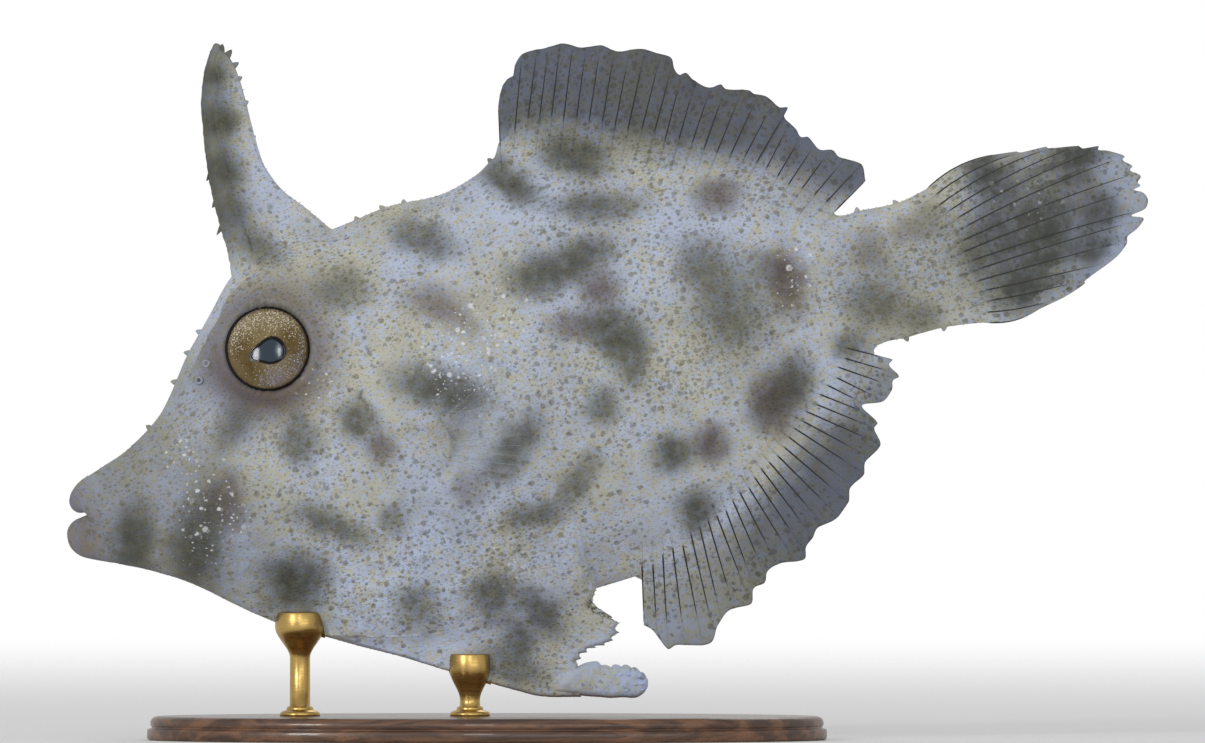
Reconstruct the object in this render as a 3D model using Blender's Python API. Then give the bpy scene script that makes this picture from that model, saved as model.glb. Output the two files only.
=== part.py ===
"""A filefish as a life-size still model, held nose down on a small stand.

The fish is laid out in its own frame: u runs from the mouth to the tail and v up to the back, in
millimetres, with y to the fish's right. One empty, fish_axis, tips that frame into the pose. The
side view's lines are curves through a few points; sections, fins, rays, barbs and flaps of skin are
worked out from them. Pieces that meet keep GAP between them. The stand is laid out upright.
"""

import math
import random

import bmesh
import bpy
from mathutils import Vector

MM = 0.001
GAP = 0.3

# How the fish hangs: its axis rises towards the tail, and its mouth is here above the floor.
TILT = math.radians(17)
MOUTH_X = -53.97
MOUTH_Z = 22.2

# Lines of the side view, as (u, v).
BACK = [(2.5, 3.3), (5, 3.9), (8, 4.9), (12, 7.3), (16, 11.8), (19.5, 15.2), (23, 18.4), (28, 19.9),
        (34, 19.9), (40, 20.4), (45, 20.0), (49, 20.8), (52.5, 22.4), (58.4, 22.2), (64, 19.6),
        (70, 16.3), (76, 12.7), (82, 6.7), (85, 6.2), (89, 5.9), (93, 6.6), (95, 6.8)]
THROAT = [(2.5, -5.4), (6, -7.2), (10, -9.9), (14, -13.6), (18, -16.9), (22, -19.0), (28, -20.9),
          (34, -22.2), (42, -22.8), (48.4, -22.2), (53, -22.2), (58.6, -21.8), (64.9, -19.4),
          (71.6, -15.4), (77.6, -11.1), (81.9, -7.4), (86, -7.3), (90.2, -7.5), (96, -8.7)]
KEEL = [(20, -18.1), (24, -20.65), (28, -23.1), (32, -25.8), (36, -28.4), (40, -30.85),
        (44, -32.15), (46, -32.7)]

# Half the trunk's thickness along the axis, and how far its cross lines lean as they rise.
HALF_WIDTH = [(2.5, 2.1), (6, 2.9), (10, 3.8), (15, 5.1), (20, 6.4), (26, 7.4), (34, 8.0), (44, 7.6),
              (54, 6.5), (64, 5.0), (74, 3.5), (82, 2.5), (88, 1.9), (95, 1.5)]
LEAN = [(0, 0), (10, 0), (20, 0.09), (33, 0.2), (46, 0.12), (60, 0), (82, 0), (94, -0.12),
        (96, -0.12)]
# How blunt the section is at the back and at the belly: 0.5 is round, more is sharper.
BACK_EDGE = [(0, 0.5), (20, 0.52), (40, 0.6), (80, 0.62), (95, 0.5)]
BELLY_EDGE = [(0, 0.5), (15, 0.55), (30, 0.7), (60, 0.72), (82, 0.6), (95, 0.5)]
WIDEST_AT = 0.55
RING_POINTS = 36

# Where the trunk is parted, along the axis.
HEAD_FRONT, HEAD_END, TORSO_END, STALK_END = 2.6, 34.4, 82.0, 93.6

# The eye's place in the side view, its size, and how deep its middle sits.
EYE = (24.2, 10.3)
EYE_RADIUS, EYE_DEPTH, EYE_Y = 4.35, 2.7, 5.0
EYE_RIM = 0.5
NOSTRILS = [(17.7, 9.7), (19.2, 10.9)]
NOSTRIL_RADIUS = 0.42
GILL_SLIT = [(31.6, 3.3), (32.4, 0.4), (32.6, -2.4)]
GILL_WIDTH, GILL_DEPTH = 0.45, 1.0

# Where the pectoral fin grows from the flank, and how far it stands off the flank.
SHOULDER = (37.2, -3.6)
SHOULDER_REACH = 1.5
FIN_SPREAD = math.radians(22)
PECTORAL_MARGIN = [(8.4, 4.5), (10.0, 2.4), (10.4, -0.6), (9.6, -3.4), (7.3, -5.2)]

# The free edges of the other fins.
DORSAL_MARGIN = [(53.5, 28.3), (55.6, 30.4), (58.5, 31.4), (61.4, 31.1), (65.7, 28.9), (69.6, 27.9),
                 (71.6, 26.2), (73.0, 23.6), (77.9, 20.8), (80.2, 18.9), (82.2, 14.6), (85.5, 11.6),
                 (86.4, 9.9)]
ANAL_MARGIN = [(52.0, -27.1), (53.4, -30.1), (58.0, -31.0), (60.6, -28.5), (64.9, -27.1),
               (69.3, -25.5), (73.4, -22.9), (77.4, -19.4), (80.0, -16.8), (80.2, -14.4),
               (79.4, -12.6), (82.4, -12.2), (83.9, -11.0), (83.8, -9.2)]
CAUDAL_MARGIN = [(100.6, 7.9), (105.5, 7.0), (109.5, 5.4), (112.0, 3.4), (112.9, 0.6), (112.4, -1.8),
                 (109.4, -4.6), (104.2, -7.3), (99.6, -8.5)]
DORSAL_RAYS, ANAL_RAYS, CAUDAL_RAYS, PECTORAL_RAYS = 28, 29, 12, 11

# The first spine of the back, as its middle line and radius along it, and the hind edge of its web.
SPINE_LINE = [(24.6, 17.6), (24.45, 22.6), (24.5, 26.2), (24.8, 29.3), (25.25, 32.2), (25.85, 35.2),
              (26.6, 37.6), (27.5, 39.7), (28.2, 41.0)]
SPINE_RADIUS = [(0, 1.45), (0.5, 1.2), (0.85, 0.9), (1, 0.35)]
WEB_EDGE = [(34.2, 19.0), (33.3, 20.5), (31.7, 22.9), (30.1, 25.2), (29.1, 28.1), (28.9, 30.8),
            (29.3, 33.8), (29.7, 36.3), (30.3, 38.4), (29.6, 40.1)]
BARB_ROWS = 9

# The hind lobe of the flap under the belly, and the spiny tip of the pelvis below it.
FLAP_LOBE = [(44.1, -31.4), (44.5, -30.0), (44.9, -28.8), (46.4, -28.0), (48.3, -27.9), (49.6, -27.0),
             (49.7, -25.9), (48.6, -24.9), (47.8, -23.9), (47.9, -23.1)]
PELVIS_TOP = [(45.2, -28.9), (46.4, -29.2), (47.0, -29.9), (48.4, -30.3), (49.6, -30.8), (50.5, -31.7),
              (50.8, -32.4)]
PELVIS_BOTTOM = [(44.5, -32.3), (45.7, -32.7), (46.7, -33.1), (47.9, -33.4), (49.1, -33.8),
                 (50.0, -33.6), (50.6, -33.1)]

# Small pointed flaps of skin on the outline: the place along the axis, the length and the slant.
BROW_FLAPS = [(10.5, 0.8, 125), (14.3, 0.9, 150), (16.4, 0.9, 150), (18.1, 0.8, 140)]
NAPE_FLAPS = [(36.4, 0.6, 100), (39.2, 0.8, 120), (41.4, 0.6, 80), (50.9, 0.7, 120)]
STALK_FLAPS = [(84.5, 0.8, 80), (88.4, 0.7, 110)]

# The stand, in upright coordinates: x along the fish, z up from the floor.
BASE_X, BASE_LENGTH, BASE_DEPTH, BASE_HEIGHT = -12, 68, 38, 2.4
BASE_BEVEL = 0.6
ROD_RADIUS, COLLAR_RADIUS, SOCKET_FLOOR = 1.0, 2.0, 1.0
FRONT_ROD_X, FRONT_ROD_TOP = -30.7, 12.8
REAR_ROD_X, REAR_ROD_TOP = -13.7, 8.6

FINISHES = {
    "head": ((0.55, 0.57, 0.60), 0.6, 0), "torso": ((0.56, 0.58, 0.60), 0.6, 0),
    "tail_stalk": ((0.52, 0.53, 0.57), 0.6, 0), "upper_lip": ((0.47, 0.45, 0.46), 0.5, 0),
    "lower_lip": ((0.46, 0.44, 0.44), 0.5, 0), "eye_left": ((0.42, 0.33, 0.17), 0.2, 0),
    "eye_right": ((0.42, 0.33, 0.17), 0.2, 0), "soft_dorsal_fin": ((0.25, 0.28, 0.32), 0.45, 0),
    "anal_fin": ((0.30, 0.33, 0.40), 0.45, 0), "caudal_fin": ((0.36, 0.40, 0.50), 0.45, 0),
    "pectoral_fin_left": ((0.52, 0.54, 0.56), 0.35, 0),
    "pectoral_fin_right": ((0.52, 0.54, 0.56), 0.35, 0), "dorsal_spine": ((0.38, 0.39, 0.38), 0.6, 0),
    "spine_web": ((0.50, 0.52, 0.55), 0.6, 0), "ventral_flap": ((0.53, 0.55, 0.58), 0.6, 0),
    "pelvic_tip": ((0.55, 0.58, 0.65), 0.6, 0), "stand_base": ((0.09, 0.05, 0.03), 0.4, 0),
    "stand_rod_front": ((0.75, 0.58, 0.28), 0.25, 1), "stand_rod_rear": ((0.75, 0.58, 0.28), 0.25, 1),
}


def line_at(points, x):
    """The height at x of a smooth line through points given in order of x."""
    x = min(max(x, points[0][0]), points[-1][0])
    k = 0
    while k < len(points) - 2 and x > points[k + 1][0]:
        k += 1

    def slope(i):
        before, after = points[max(i - 1, 0)], points[min(i + 1, len(points) - 1)]
        return (after[1] - before[1]) / (after[0] - before[0])

    (x0, y0), (x1, y1) = points[k], points[k + 1]
    step = x1 - x0
    t = (x - x0) / step
    return ((2 * t**3 - 3 * t**2 + 1) * y0 + (t**3 - 2 * t**2 + t) * step * slope(k)
            + (3 * t**2 - 2 * t**3) * y1 + (t**3 - t**2) * step * slope(k + 1))


def path_at(points, share):
    """The point this share of the way along a smooth path through (u, v) points."""
    along = [0.0]
    for a, b in zip(points, points[1:]):
        along.append(along[-1] + math.dist(a, b))
    place = share * along[-1]
    return Vector([line_at([(s, p[axis]) for s, p in zip(along, points)], place) for axis in (0, 1)])


def spread(first, last, count):
    return [first + (last - first) * i / (count - 1) for i in range(count)]


def round_angles(count):
    return [2 * math.pi * i / count for i in range(count)]


def beside(line, u, off):
    """The point at a distance off the line, above it where off is positive."""
    slope = (line_at(line, u + 0.5) - line_at(line, u - 0.5))
    return Vector((u, line_at(line, u))) + Vector((-slope, 1)).normalized() * off


def section(axis_at, grow=0.0):
    """One ring of the trunk: (u, y, v) points from the back round the right flank and up again."""
    ends = []
    for line, off in ((BACK, grow), (THROAT, -grow)):
        u = axis_at
        for _ in range(12):
            u = axis_at + line_at(LEAN, axis_at) * (line_at(line, u) + off)
        ends.append(Vector((u, line_at(line, u) + off)))
    top, bottom = ends
    width = line_at(HALF_WIDTH, axis_at) + grow
    warp = math.log(0.5) / math.log(WIDEST_AT)
    half = []
    for angle in spread(0, math.pi, RING_POINTS // 2 + 1):
        height = (1 + math.cos(angle)) / 2
        x = 2 * height**warp - 1
        blunt = line_at(BACK_EDGE if x > 0 else BELLY_EDGE, axis_at)
        place = bottom.lerp(top, height)
        half.append((place.x, width * max(1 - x * x, 0) ** blunt, place.y))
    return half + [(u, -y, v) for u, y, v in reversed(half[1:-1])]


def flank(u, v):
    """How far the trunk's flank is from the middle plane at (u, v)."""
    ring = section(u - line_at(LEAN, u) * v)[: RING_POINTS // 2 + 1]
    for (_, y0, v0), (_, y1, v1) in zip(ring, ring[1:]):
        if v1 <= v <= v0:
            return y0 + (y1 - y0) * (v0 - v) / (v0 - v1)
    return 0.0


def add_mesh(name, points, faces, parent):
    """A mesh object from points in millimetres, with its faces turned outwards."""
    mesh = bpy.data.meshes.new(name)
    mesh.from_pydata([Vector(p) * MM for p in points], [], faces)
    work = bmesh.new()
    work.from_mesh(mesh)
    bmesh.ops.recalc_face_normals(work, faces=work.faces)
    work.to_mesh(mesh)
    work.free()
    made = bpy.data.objects.new(name, mesh)
    bpy.context.scene.collection.objects.link(made)
    made.parent = parent
    return made


def finish(made, sharp=35):
    """Gives a finished sub-part its material and its smooth shading."""
    colour, roughness, metallic = FINISHES[made.name]
    material = bpy.data.materials.new(made.name)
    material.use_nodes = True
    shader = material.node_tree.nodes["Principled BSDF"]
    shader.inputs["Base Color"].default_value = (*colour, 1)
    shader.inputs["Roughness"].default_value = roughness
    shader.inputs["Metallic"].default_value = metallic
    made.data.materials.clear()
    made.data.materials.append(material)
    made.data.shade_smooth()
    made.data.set_sharp_from_angle(angle=math.radians(sharp))
    return made


def bridge(rings, close=False):
    """The quads between rings of equal count. close joins the last ring to the first."""
    count = len(rings[0])
    faces = []
    for r in range(len(rings) if close else len(rings) - 1):
        here, after = r * count, (r + 1) % len(rings) * count
        for i in range(count):
            j = (i + 1) % count
            faces.append([here + i, here + j, after + j, after + i])
    return faces


def loft(name, rings, parent=None):
    """A closed skin over rings of equal count, with a flat cap at each end."""
    count = len(rings[0])
    caps = [list(range(count)), [(len(rings) - 1) * count + i for i in range(count)]]
    return add_mesh(name, [p for ring in rings for p in ring], bridge(rings) + caps, parent)


def sheet(name, columns, halves, parent, place=None):
    """A thin closed sheet. columns hold (u, v) points and halves the half thickness at each.

    Both faces are split into triangles along the same diagonals, so that they can't cross.
    """
    place = place or (lambda u, v, y: (u, y, v))
    rows, count = len(columns[0]), len(columns)
    points = [place(p[0], p[1], side * h) for side in (1, -1)
              for column, half in zip(columns, halves) for p, h in zip(column, half)]
    other = count * rows
    faces = []
    for c in range(count - 1):
        for r in range(rows - 1):
            a = c * rows + r
            b, d, e = a + rows, a + rows + 1, a + 1
            faces += [[a, b, d], [a, d, e], [other + a, other + d, other + b],
                      [other + a, other + e, other + d]]
    last = (count - 1) * rows
    rim = ([c * rows for c in range(count)] + [last + r for r in range(1, rows)]
           + [c * rows + rows - 1 for c in range(count - 2, -1, -1)]
           + [r for r in range(rows - 2, 0, -1)])
    for a, b in zip(rim, rim[1:] + rim[:1]):
        faces.append([a, b, other + b, other + a])
    return add_mesh(name, points, faces, parent)


def cone(name, foot, tip, radius, sides, parent):
    """A tapered spine or flap of skin from its foot to its blunt tip."""
    foot, tip = Vector(foot), Vector(tip)
    turn = (tip - foot).to_track_quat("Z", "Y").to_matrix()
    rings = []
    for share, size in ((0, 1), (0.6, 0.65), (1, 0.2)):
        rings.append([foot.lerp(tip, share) + turn @ Vector((math.cos(a), math.sin(a), 0))
                      * radius * size for a in round_angles(sides)])
    return loft(name, rings, parent)


def ellipsoid(name, centre, radii, segments, parent):
    """A closed ellipsoid with its poles across the fish, so that an eye's rings face outwards."""
    rings = []
    for turn in spread(-math.pi / 2, math.pi / 2, segments // 2 + 1)[1:-1]:
        rings.append([(centre[0] + radii[0] * math.cos(turn) * math.cos(a),
                       centre[1] + radii[1] * math.sin(turn),
                       centre[2] + radii[2] * math.cos(turn) * math.sin(a))
                      for a in round_angles(segments)])
    return loft(name, rings, parent)


def combine(target, others, operation):
    """Joins others to target, or cuts them out of it, and keeps its largest closed surface."""
    group = bpy.data.collections.new("others")
    bpy.context.scene.collection.children.link(group)
    for piece in others:
        group.objects.link(piece)
    change = target.modifiers.new(operation, "BOOLEAN")
    change.operation = operation
    change.operand_type = "COLLECTION"
    change.collection = group
    change.solver = "MANIFOLD"
    bpy.context.view_layer.update()
    graph = bpy.context.evaluated_depsgraph_get()
    mesh = bpy.data.meshes.new_from_object(target.evaluated_get(graph))
    target.modifiers.clear()
    for piece in others:
        bpy.data.objects.remove(piece)
    bpy.data.collections.remove(group)
    target.data = mesh
    keep_largest(mesh)


def keep_largest(mesh):
    """Drops every loose scrap and sealed hollow of a mesh."""
    work = bmesh.new()
    work.from_mesh(mesh)
    left, surfaces = set(work.verts), []
    while left:
        surface, reached = set(), [left.pop()]
        while reached:
            vertex = reached.pop()
            surface.add(vertex)
            for edge in vertex.link_edges:
                other = edge.other_vert(vertex)
                if other in left:
                    left.remove(other)
                    reached.append(other)
        surfaces.append(surface)
    largest = max(surfaces, key=len)
    spare = [v for surface in surfaces if surface is not largest for v in surface]
    bmesh.ops.delete(work, geom=spare, context="VERTS")
    work.to_mesh(mesh)
    work.free()


def skin_flaps(line, places, parent, downwards=False):
    """Small pointed flaps of skin rooted in the outline's line."""
    flaps = []
    for u, length, slant in places:
        way = Vector((math.cos(math.radians(slant)), 0, math.sin(math.radians(slant))))
        if downwards:
            way.z = -way.z
        on_line = Vector((u, 0, line_at(line, u)))
        flaps.append(cone("skin_flap", on_line - way * 0.8, on_line + way * length, 0.5, 5, parent))
    return flaps


def eye_rim(side, parent):
    """The low ring of skin round the eye, which follows the slope of the head."""
    rings = []
    for a in round_angles(24):
        ring = []
        for b in round_angles(6):
            reach = EYE_RADIUS + 0.1 + EYE_RIM * math.cos(b)
            u, v = EYE[0] + reach * math.cos(a), EYE[1] + reach * math.sin(a)
            ring.append((u, side * (flank(u, v) + 0.1 + EYE_RIM * math.sin(b)), v))
        rings.append(ring)
    return add_mesh("eye_rim", [p for ring in rings for p in ring], bridge(rings, close=True), parent)


def gill_cutter(side, parent):
    """The blade that opens the short gill slit, slanting forwards as it goes in."""
    rings = []
    for share in spread(0, 1, 6):
        u, v = path_at(GILL_SLIT, share)
        y = flank(u, v)
        half = 0.1 + (GILL_WIDTH - 0.1) * math.sin(math.pi * share)
        rings.append([(u - half, side * (y + 0.6), v), (u + half, side * (y + 0.6), v),
                      (u + half * 0.4 - 0.4, side * (y - GILL_DEPTH), v),
                      (u - half * 0.4 - 0.4, side * (y - GILL_DEPTH), v)])
    return loft("gill_cutter", rings, parent)


def build_head(fish):
    """The head from behind the lips to behind the gill slit, with eye sockets and nostrils."""
    stations = [HEAD_FRONT, 3.4, 4.6, 6.2, 8.2, 10.4, 12.6, 14.8, 17, 19.2, 21.4, 23.6, 25.8, 28,
                30, 32.2, HEAD_END]
    head = loft("head", [section(a) for a in stations], fish)
    combine(head, skin_flaps(BACK, BROW_FLAPS, fish) + [eye_rim(side, fish) for side in (1, -1)],
            "UNION")
    cutters = []
    for side in (1, -1):
        socket = (EYE_RADIUS + GAP, EYE_DEPTH + GAP, EYE_RADIUS + GAP)
        cutters.append(ellipsoid("socket", (EYE[0], side * EYE_Y, EYE[1]), socket, 24, fish))
        for u, v in NOSTRILS:
            y = flank(u, v)
            cutters.append(cone("nostril", (u, side * (y + 0.6), v), (u, side * (y - 1.1), v),
                                NOSTRIL_RADIUS, 7, fish))
        cutters.append(gill_cutter(side, fish))
    combine(head, cutters, "DIFFERENCE")
    finish(head)


def build_lips(fish):
    """Both lips, each a short loft that is rounded in front and ends flat against the head."""
    back = HEAD_FRONT - GAP
    lips = {
        "upper_lip": (0.6, [(0.6, 1.3), (0.9, 2.15), (1.6, 2.8), (back, 3.2)],
                      [(0.6, 1.2), (0.9, 0.5), (1.4, 0.1), (back, 0.05)]),
        "lower_lip": (-0.6, [(-0.6, -2.0), (-0.2, -0.95), (0.5, -0.45), (1.4, -0.25), (back, -0.25)],
                      [(-0.6, -2.1), (-0.45, -3.1), (0.2, -4.05), (1.1, -4.6), (back, -5.2)]),
    }
    for name, (front, top, bottom) in lips.items():
        rings = []
        for share in spread(0.04, 1, 8):
            u = front + (back - front) * (1 - math.cos(share * math.pi / 2))
            width = 2.1 * math.sqrt(max(1 - ((back - u) / (back - front)) ** 2, 0))
            high, low = line_at(top, u), line_at(bottom, u)
            rings.append([(u, width * math.sin(a) * (1 - 0.12 * math.cos(a)),
                           (high + low) / 2 + (high - low) / 2 * math.cos(a))
                          for a in round_angles(18)])
        finish(loft(name, rings, fish))


def build_eyes(fish):
    for side, name in ((1, "eye_right"), (-1, "eye_left")):
        radii = (EYE_RADIUS, EYE_DEPTH, EYE_RADIUS)
        finish(ellipsoid(name, (EYE[0], side * EYE_Y, EYE[1]), radii, 24, fish))


def build_torso(fish):
    """The trunk behind the head, with the fleshy roots of the pectoral fins."""
    stations = [HEAD_END + GAP, 37, 39.6, 42.2, 44.8, 47.4, 50, 52.6, 55.4, 58.6, 62, 65.6, 69.2,
                72.8, 76, 78.8, 80.8, TORSO_END]
    torso = loft("torso", [section(a) for a in stations], fish)
    roots = []
    for side in (1, -1):
        place = pectoral_place(side)
        rings = []
        for along, height, depth in ((-2.0, 4.2, 2.2), (0.2, 3.8, 1.7), (SHOULDER_REACH, 3.4, 1.0)):
            rings.append([place(along, height / 2 * math.cos(a), depth / 2 * math.sin(a))
                          for a in round_angles(12)])
        roots.append(loft("root", rings, fish))
    combine(torso, skin_flaps(BACK, NAPE_FLAPS, fish) + roots, "UNION")
    finish(torso)


def build_tail_stalk(fish):
    stations = [TORSO_END + GAP, 83.6, 85.6, 87.8, 90, 92, STALK_END]
    stalk = loft("tail_stalk", [section(a) for a in stations], fish)
    flaps = skin_flaps(BACK, STALK_FLAPS, fish)
    flaps += skin_flaps(THROAT, [(u + 1, length, slant) for u, length, slant in STALK_FLAPS], fish,
                        downwards=True)
    combine(stalk, flaps, "UNION")
    finish(stalk)


def build_fin(name, parent, base, margin, rays, ragged, bow=0.0, base_half=0.6, place=None, rows=6):
    """A fin whose rays stand up as ridges in its own surface and end past the webs between them.

    The webs draw back by up to ragged. bow bends the outer rays towards the fin's middle.
    """
    columns, halves = [], []
    draw = random.Random(name)
    count = 2 * rays - 1
    for number in range(count):
        is_ray = number % 2 == 0
        share = number / (count - 1)
        foot, tip = path_at(base, share), path_at(margin, share)
        way = (tip - foot).normalized()
        across = Vector((-way.y, way.x))
        tip -= way * (ragged * (draw.uniform(0, 0.4) if is_ray else draw.uniform(0.5, 1)))
        column, half = [], []
        for along in spread(0, 1, rows):
            bend = bow * (1 - 2 * share) * 4 * along * (1 - along)
            column.append(foot.lerp(tip, along) + across * bend)
            web = base_half * (1 - 0.6 * along**0.6)
            half.append(web + (0.2 * (1 - 0.6 * along) if is_ray else 0))
        columns.append(column)
        halves.append(half)
    finish(sheet(name, columns, halves, parent, place), sharp=60)


def build_fins(fish):
    dorsal_base = [beside(BACK, u, GAP) for u in (52.2, 54, 58.4, 64, 70, 76, 79, 81.4)]
    build_fin("soft_dorsal_fin", fish, dorsal_base, DORSAL_MARGIN, DORSAL_RAYS, 0.5)
    anal_base = [beside(THROAT, u, -GAP) for u in (53.6, 56, 58.6, 61.6, 64.9, 68.5, 71.6, 77.6, 81.2)]
    build_fin("anal_fin", fish, anal_base, ANAL_MARGIN, ANAL_RAYS, 0.6)
    stalk_face = section(STALK_END + GAP)
    top, bottom = stalk_face[0], stalk_face[RING_POINTS // 2]
    caudal_base = [(top[0], top[2] - 0.5), (bottom[0], bottom[2] + 0.3)]
    build_fin("caudal_fin", fish, caudal_base, CAUDAL_MARGIN, CAUDAL_RAYS, 0.6, bow=0.7, base_half=0.8)
    root_face = [(SHOULDER_REACH + GAP, 1.4), (SHOULDER_REACH + GAP, -1.4)]
    for side, name in ((1, "pectoral_fin_right"), (-1, "pectoral_fin_left")):
        build_fin(name, fish, root_face, PECTORAL_MARGIN, PECTORAL_RAYS, 0.3, bow=0.3, base_half=0.5,
                  place=pectoral_place(side), rows=5)


def pectoral_place(side):
    """Turns a point of the pectoral fin's own plane into the fish's frame."""
    root = Vector((SHOULDER[0], side * flank(*SHOULDER), SHOULDER[1]))
    out = Vector((math.cos(FIN_SPREAD), side * math.sin(FIN_SPREAD), 0))
    face = Vector((-math.sin(FIN_SPREAD), side * math.cos(FIN_SPREAD), 0))
    return lambda along, up, off: root + out * along + Vector((0, 0, up)) + face * off


def build_spine(fish):
    """The stout first spine of the back, with two rows of barbs that point down on each side."""
    rings, barbs = [], []
    for share in spread(0, 1, 13):
        centre, radius = path_at(SPINE_LINE, share), line_at(SPINE_RADIUS, share)
        ahead = path_at(SPINE_LINE, min(share + 0.02, 1)) - path_at(SPINE_LINE, max(share - 0.02, 0))
        across = Vector((ahead.y, -ahead.x)).normalized()
        rings.append([(centre.x + across.x * radius * math.cos(a), radius * 0.85 * math.sin(a),
                       centre.y + across.y * radius * math.cos(a)) for a in round_angles(12)])
    spine = loft("dorsal_spine", rings, fish)
    for share in spread(0.24, 0.94, BARB_ROWS):
        centre, radius = path_at(SPINE_LINE, share), line_at(SPINE_RADIUS, share)
        length = 0.75 - 0.4 * share
        for side in (1, -1):
            for row, out in ((-1, 0.4), (1, 0.9)):
                foot = (centre.x + row * radius * 0.4, side * radius * 0.4, centre.y)
                tip = (centre.x + row * (radius * 0.9 + length * (1 - out)) * (1.3 - 0.4 * out),
                       side * (radius * 0.6 + length * out), centre.y - length)
                barbs.append(cone("barb", foot, tip, 0.36, 4, fish))
    combine(spine, barbs, "UNION")
    combine(spine, [grown_head(fish)], "DIFFERENCE")
    finish(spine)


def build_spine_web(fish):
    """The web of skin from the spine down to the nape, torn along its upper hind edge."""
    columns, halves = [], []
    draw = random.Random("web")
    for share in spread(0.08, 0.97, 18):
        centre, radius = path_at(SPINE_LINE, share), line_at(SPINE_RADIUS, share)
        start = Vector((centre.x + radius + GAP, centre.y))
        end = path_at(WEB_EDGE, share)
        if share > 0.45:
            end.x += draw.uniform(-0.4, 0.2)
        columns.append([start.lerp(end, along) for along in spread(0, 1, 5)])
        halves.append([0.5 - 0.15 * along for along in spread(0, 1, 5)])
    web = sheet("spine_web", columns, halves, fish)
    combine(web, [grown_head(fish)], "DIFFERENCE")
    finish(web)


def grown_head(fish):
    """The head's form, larger by the gap, which seats the spine, its web and the front cradle."""
    return loft("grown_head", [section(a, GAP) for a in spread(12, HEAD_END, 12)], fish)


def ventral_flap(name, fish, grow=0.0):
    """The flap under the belly, stiffened along its lower edge by the pelvis."""
    feet = [beside(THROAT, u, -GAP) for u in spread(23.4, 41, 12)]
    ends = [Vector((u, line_at(KEEL, u))) for u in spread(23.4, 43.6, 12)]
    feet += [beside(THROAT, u, -GAP) for u in spread(42, 47.7, 13)]
    draw = random.Random("lobe")
    for number, share in enumerate(spread(0, 0.97, 13)):
        inwards = (number % 2) * draw.uniform(0.15, 0.4)
        end = path_at(FLAP_LOBE, share)
        ends.append(end + (Vector((43, -25.5)) - end).normalized() * inwards)
    columns, halves = [], []
    for foot, end in zip(feet, ends):
        end = end + (end - foot).normalized() * grow
        columns.append([foot.lerp(end, along) for along in (0, 0.3, 0.6, 0.85, 1)])
        edge = 1 if end.x < 44 else 0.6
        halves.append([h + grow for h in (0.7, 0.55, 0.5, 0.95 * edge, 0.7 * edge)])
    return sheet(name, columns, halves, fish)


def build_ventral_flap(fish):
    finish(ventral_flap("ventral_flap", fish), sharp=60)


def build_pelvic_tip(fish):
    """The blunt scaly end of the pelvis, behind the flap, with a toothed upper edge."""
    columns, halves = [], []
    for number, share in enumerate(spread(0, 1, 15)):
        high, low = path_at(PELVIS_TOP, share), path_at(PELVIS_BOTTOM, share)
        high.y -= 0.3 * (number % 2)
        columns.append([low.lerp(high, along) for along in spread(0, 1, 5)])
        halves.append([h * (1 - 0.4 * share) for h in (0.6, 0.9, 0.8, 0.6, 0.45)])
    finish(sheet("pelvic_tip", columns, halves, fish), sharp=60)


def oval(x, z, length, depth, count):
    return [(x + length / 2 * math.cos(a), depth / 2 * math.sin(a), z) for a in round_angles(count)]


def build_base():
    """The oval base, with a hole for the foot of each rod."""
    profile = [(0, 0.3), (0.3, 0), (BASE_HEIGHT - BASE_BEVEL, 0), (BASE_HEIGHT, BASE_BEVEL)]
    base = loft("stand_base", [oval(BASE_X, z, BASE_LENGTH - 2 * inset, BASE_DEPTH - 2 * inset, 64)
                               for z, inset in profile])
    across = 2 * (ROD_RADIUS + GAP)
    holes = [loft("hole", [oval(x, z, across, across, 20) for z in (SOCKET_FLOOR, BASE_HEIGHT + 1)])
             for x in (FRONT_ROD_X, REAR_ROD_X)]
    combine(base, holes, "DIFFERENCE")
    finish(base)


def build_rod(name, x, top, cradle, held):
    """A rod with a collar on the base and a cradle at its top, cut to the form that it holds."""
    thin, collar = 2 * ROD_RADIUS, 2 * COLLAR_RADIUS
    on_base = BASE_HEIGHT + GAP
    neck = max(top - 4.6, on_base + 1.2)
    steps = [(SOCKET_FLOOR + GAP, thin, thin), (on_base, thin, thin), (on_base, collar, collar),
             (on_base + 0.5, collar, collar), (on_base + 0.8, thin, thin), (neck, thin, thin),
             (top - 2.2, *cradle), (top, *cradle)]
    rod = loft(name, [oval(x, z, length, depth, 20) for z, length, depth in steps])
    combine(rod, [held], "DIFFERENCE")
    finish(rod)


def main():
    for old in list(bpy.data.objects):
        bpy.data.objects.remove(old)
    fish = bpy.data.objects.new("fish_axis", None)
    bpy.context.scene.collection.objects.link(fish)
    fish.location = (MOUTH_X * MM, 0, MOUTH_Z * MM)
    fish.rotation_euler = (0, -TILT, 0)
    build_head(fish)
    build_lips(fish)
    build_eyes(fish)
    build_torso(fish)
    build_tail_stalk(fish)
    build_fins(fish)
    build_spine(fish)
    build_spine_web(fish)
    build_ventral_flap(fish)
    build_pelvic_tip(fish)
    build_base()
    build_rod("stand_rod_front", FRONT_ROD_X, FRONT_ROD_TOP, (5.0, 6.0), grown_head(fish))
    build_rod("stand_rod_rear", REAR_ROD_X, REAR_ROD_TOP, (4.2, 4.4),
              ventral_flap("held_flap", fish, GAP))


main()
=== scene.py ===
# %% [markdown]
# # An aiptasia-eating filefish, life size
# This lesson dresses a plain solid model of a small reef fish, 113 mm long, as a museum model maker
# would finish a cast: skin, eyes, fins and stand. The fish is thin and deep, and covered in velvety
# skin with soft dark blotches. The solid model is loaded first as a fixed frame. Nothing in it is moved.

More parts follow.
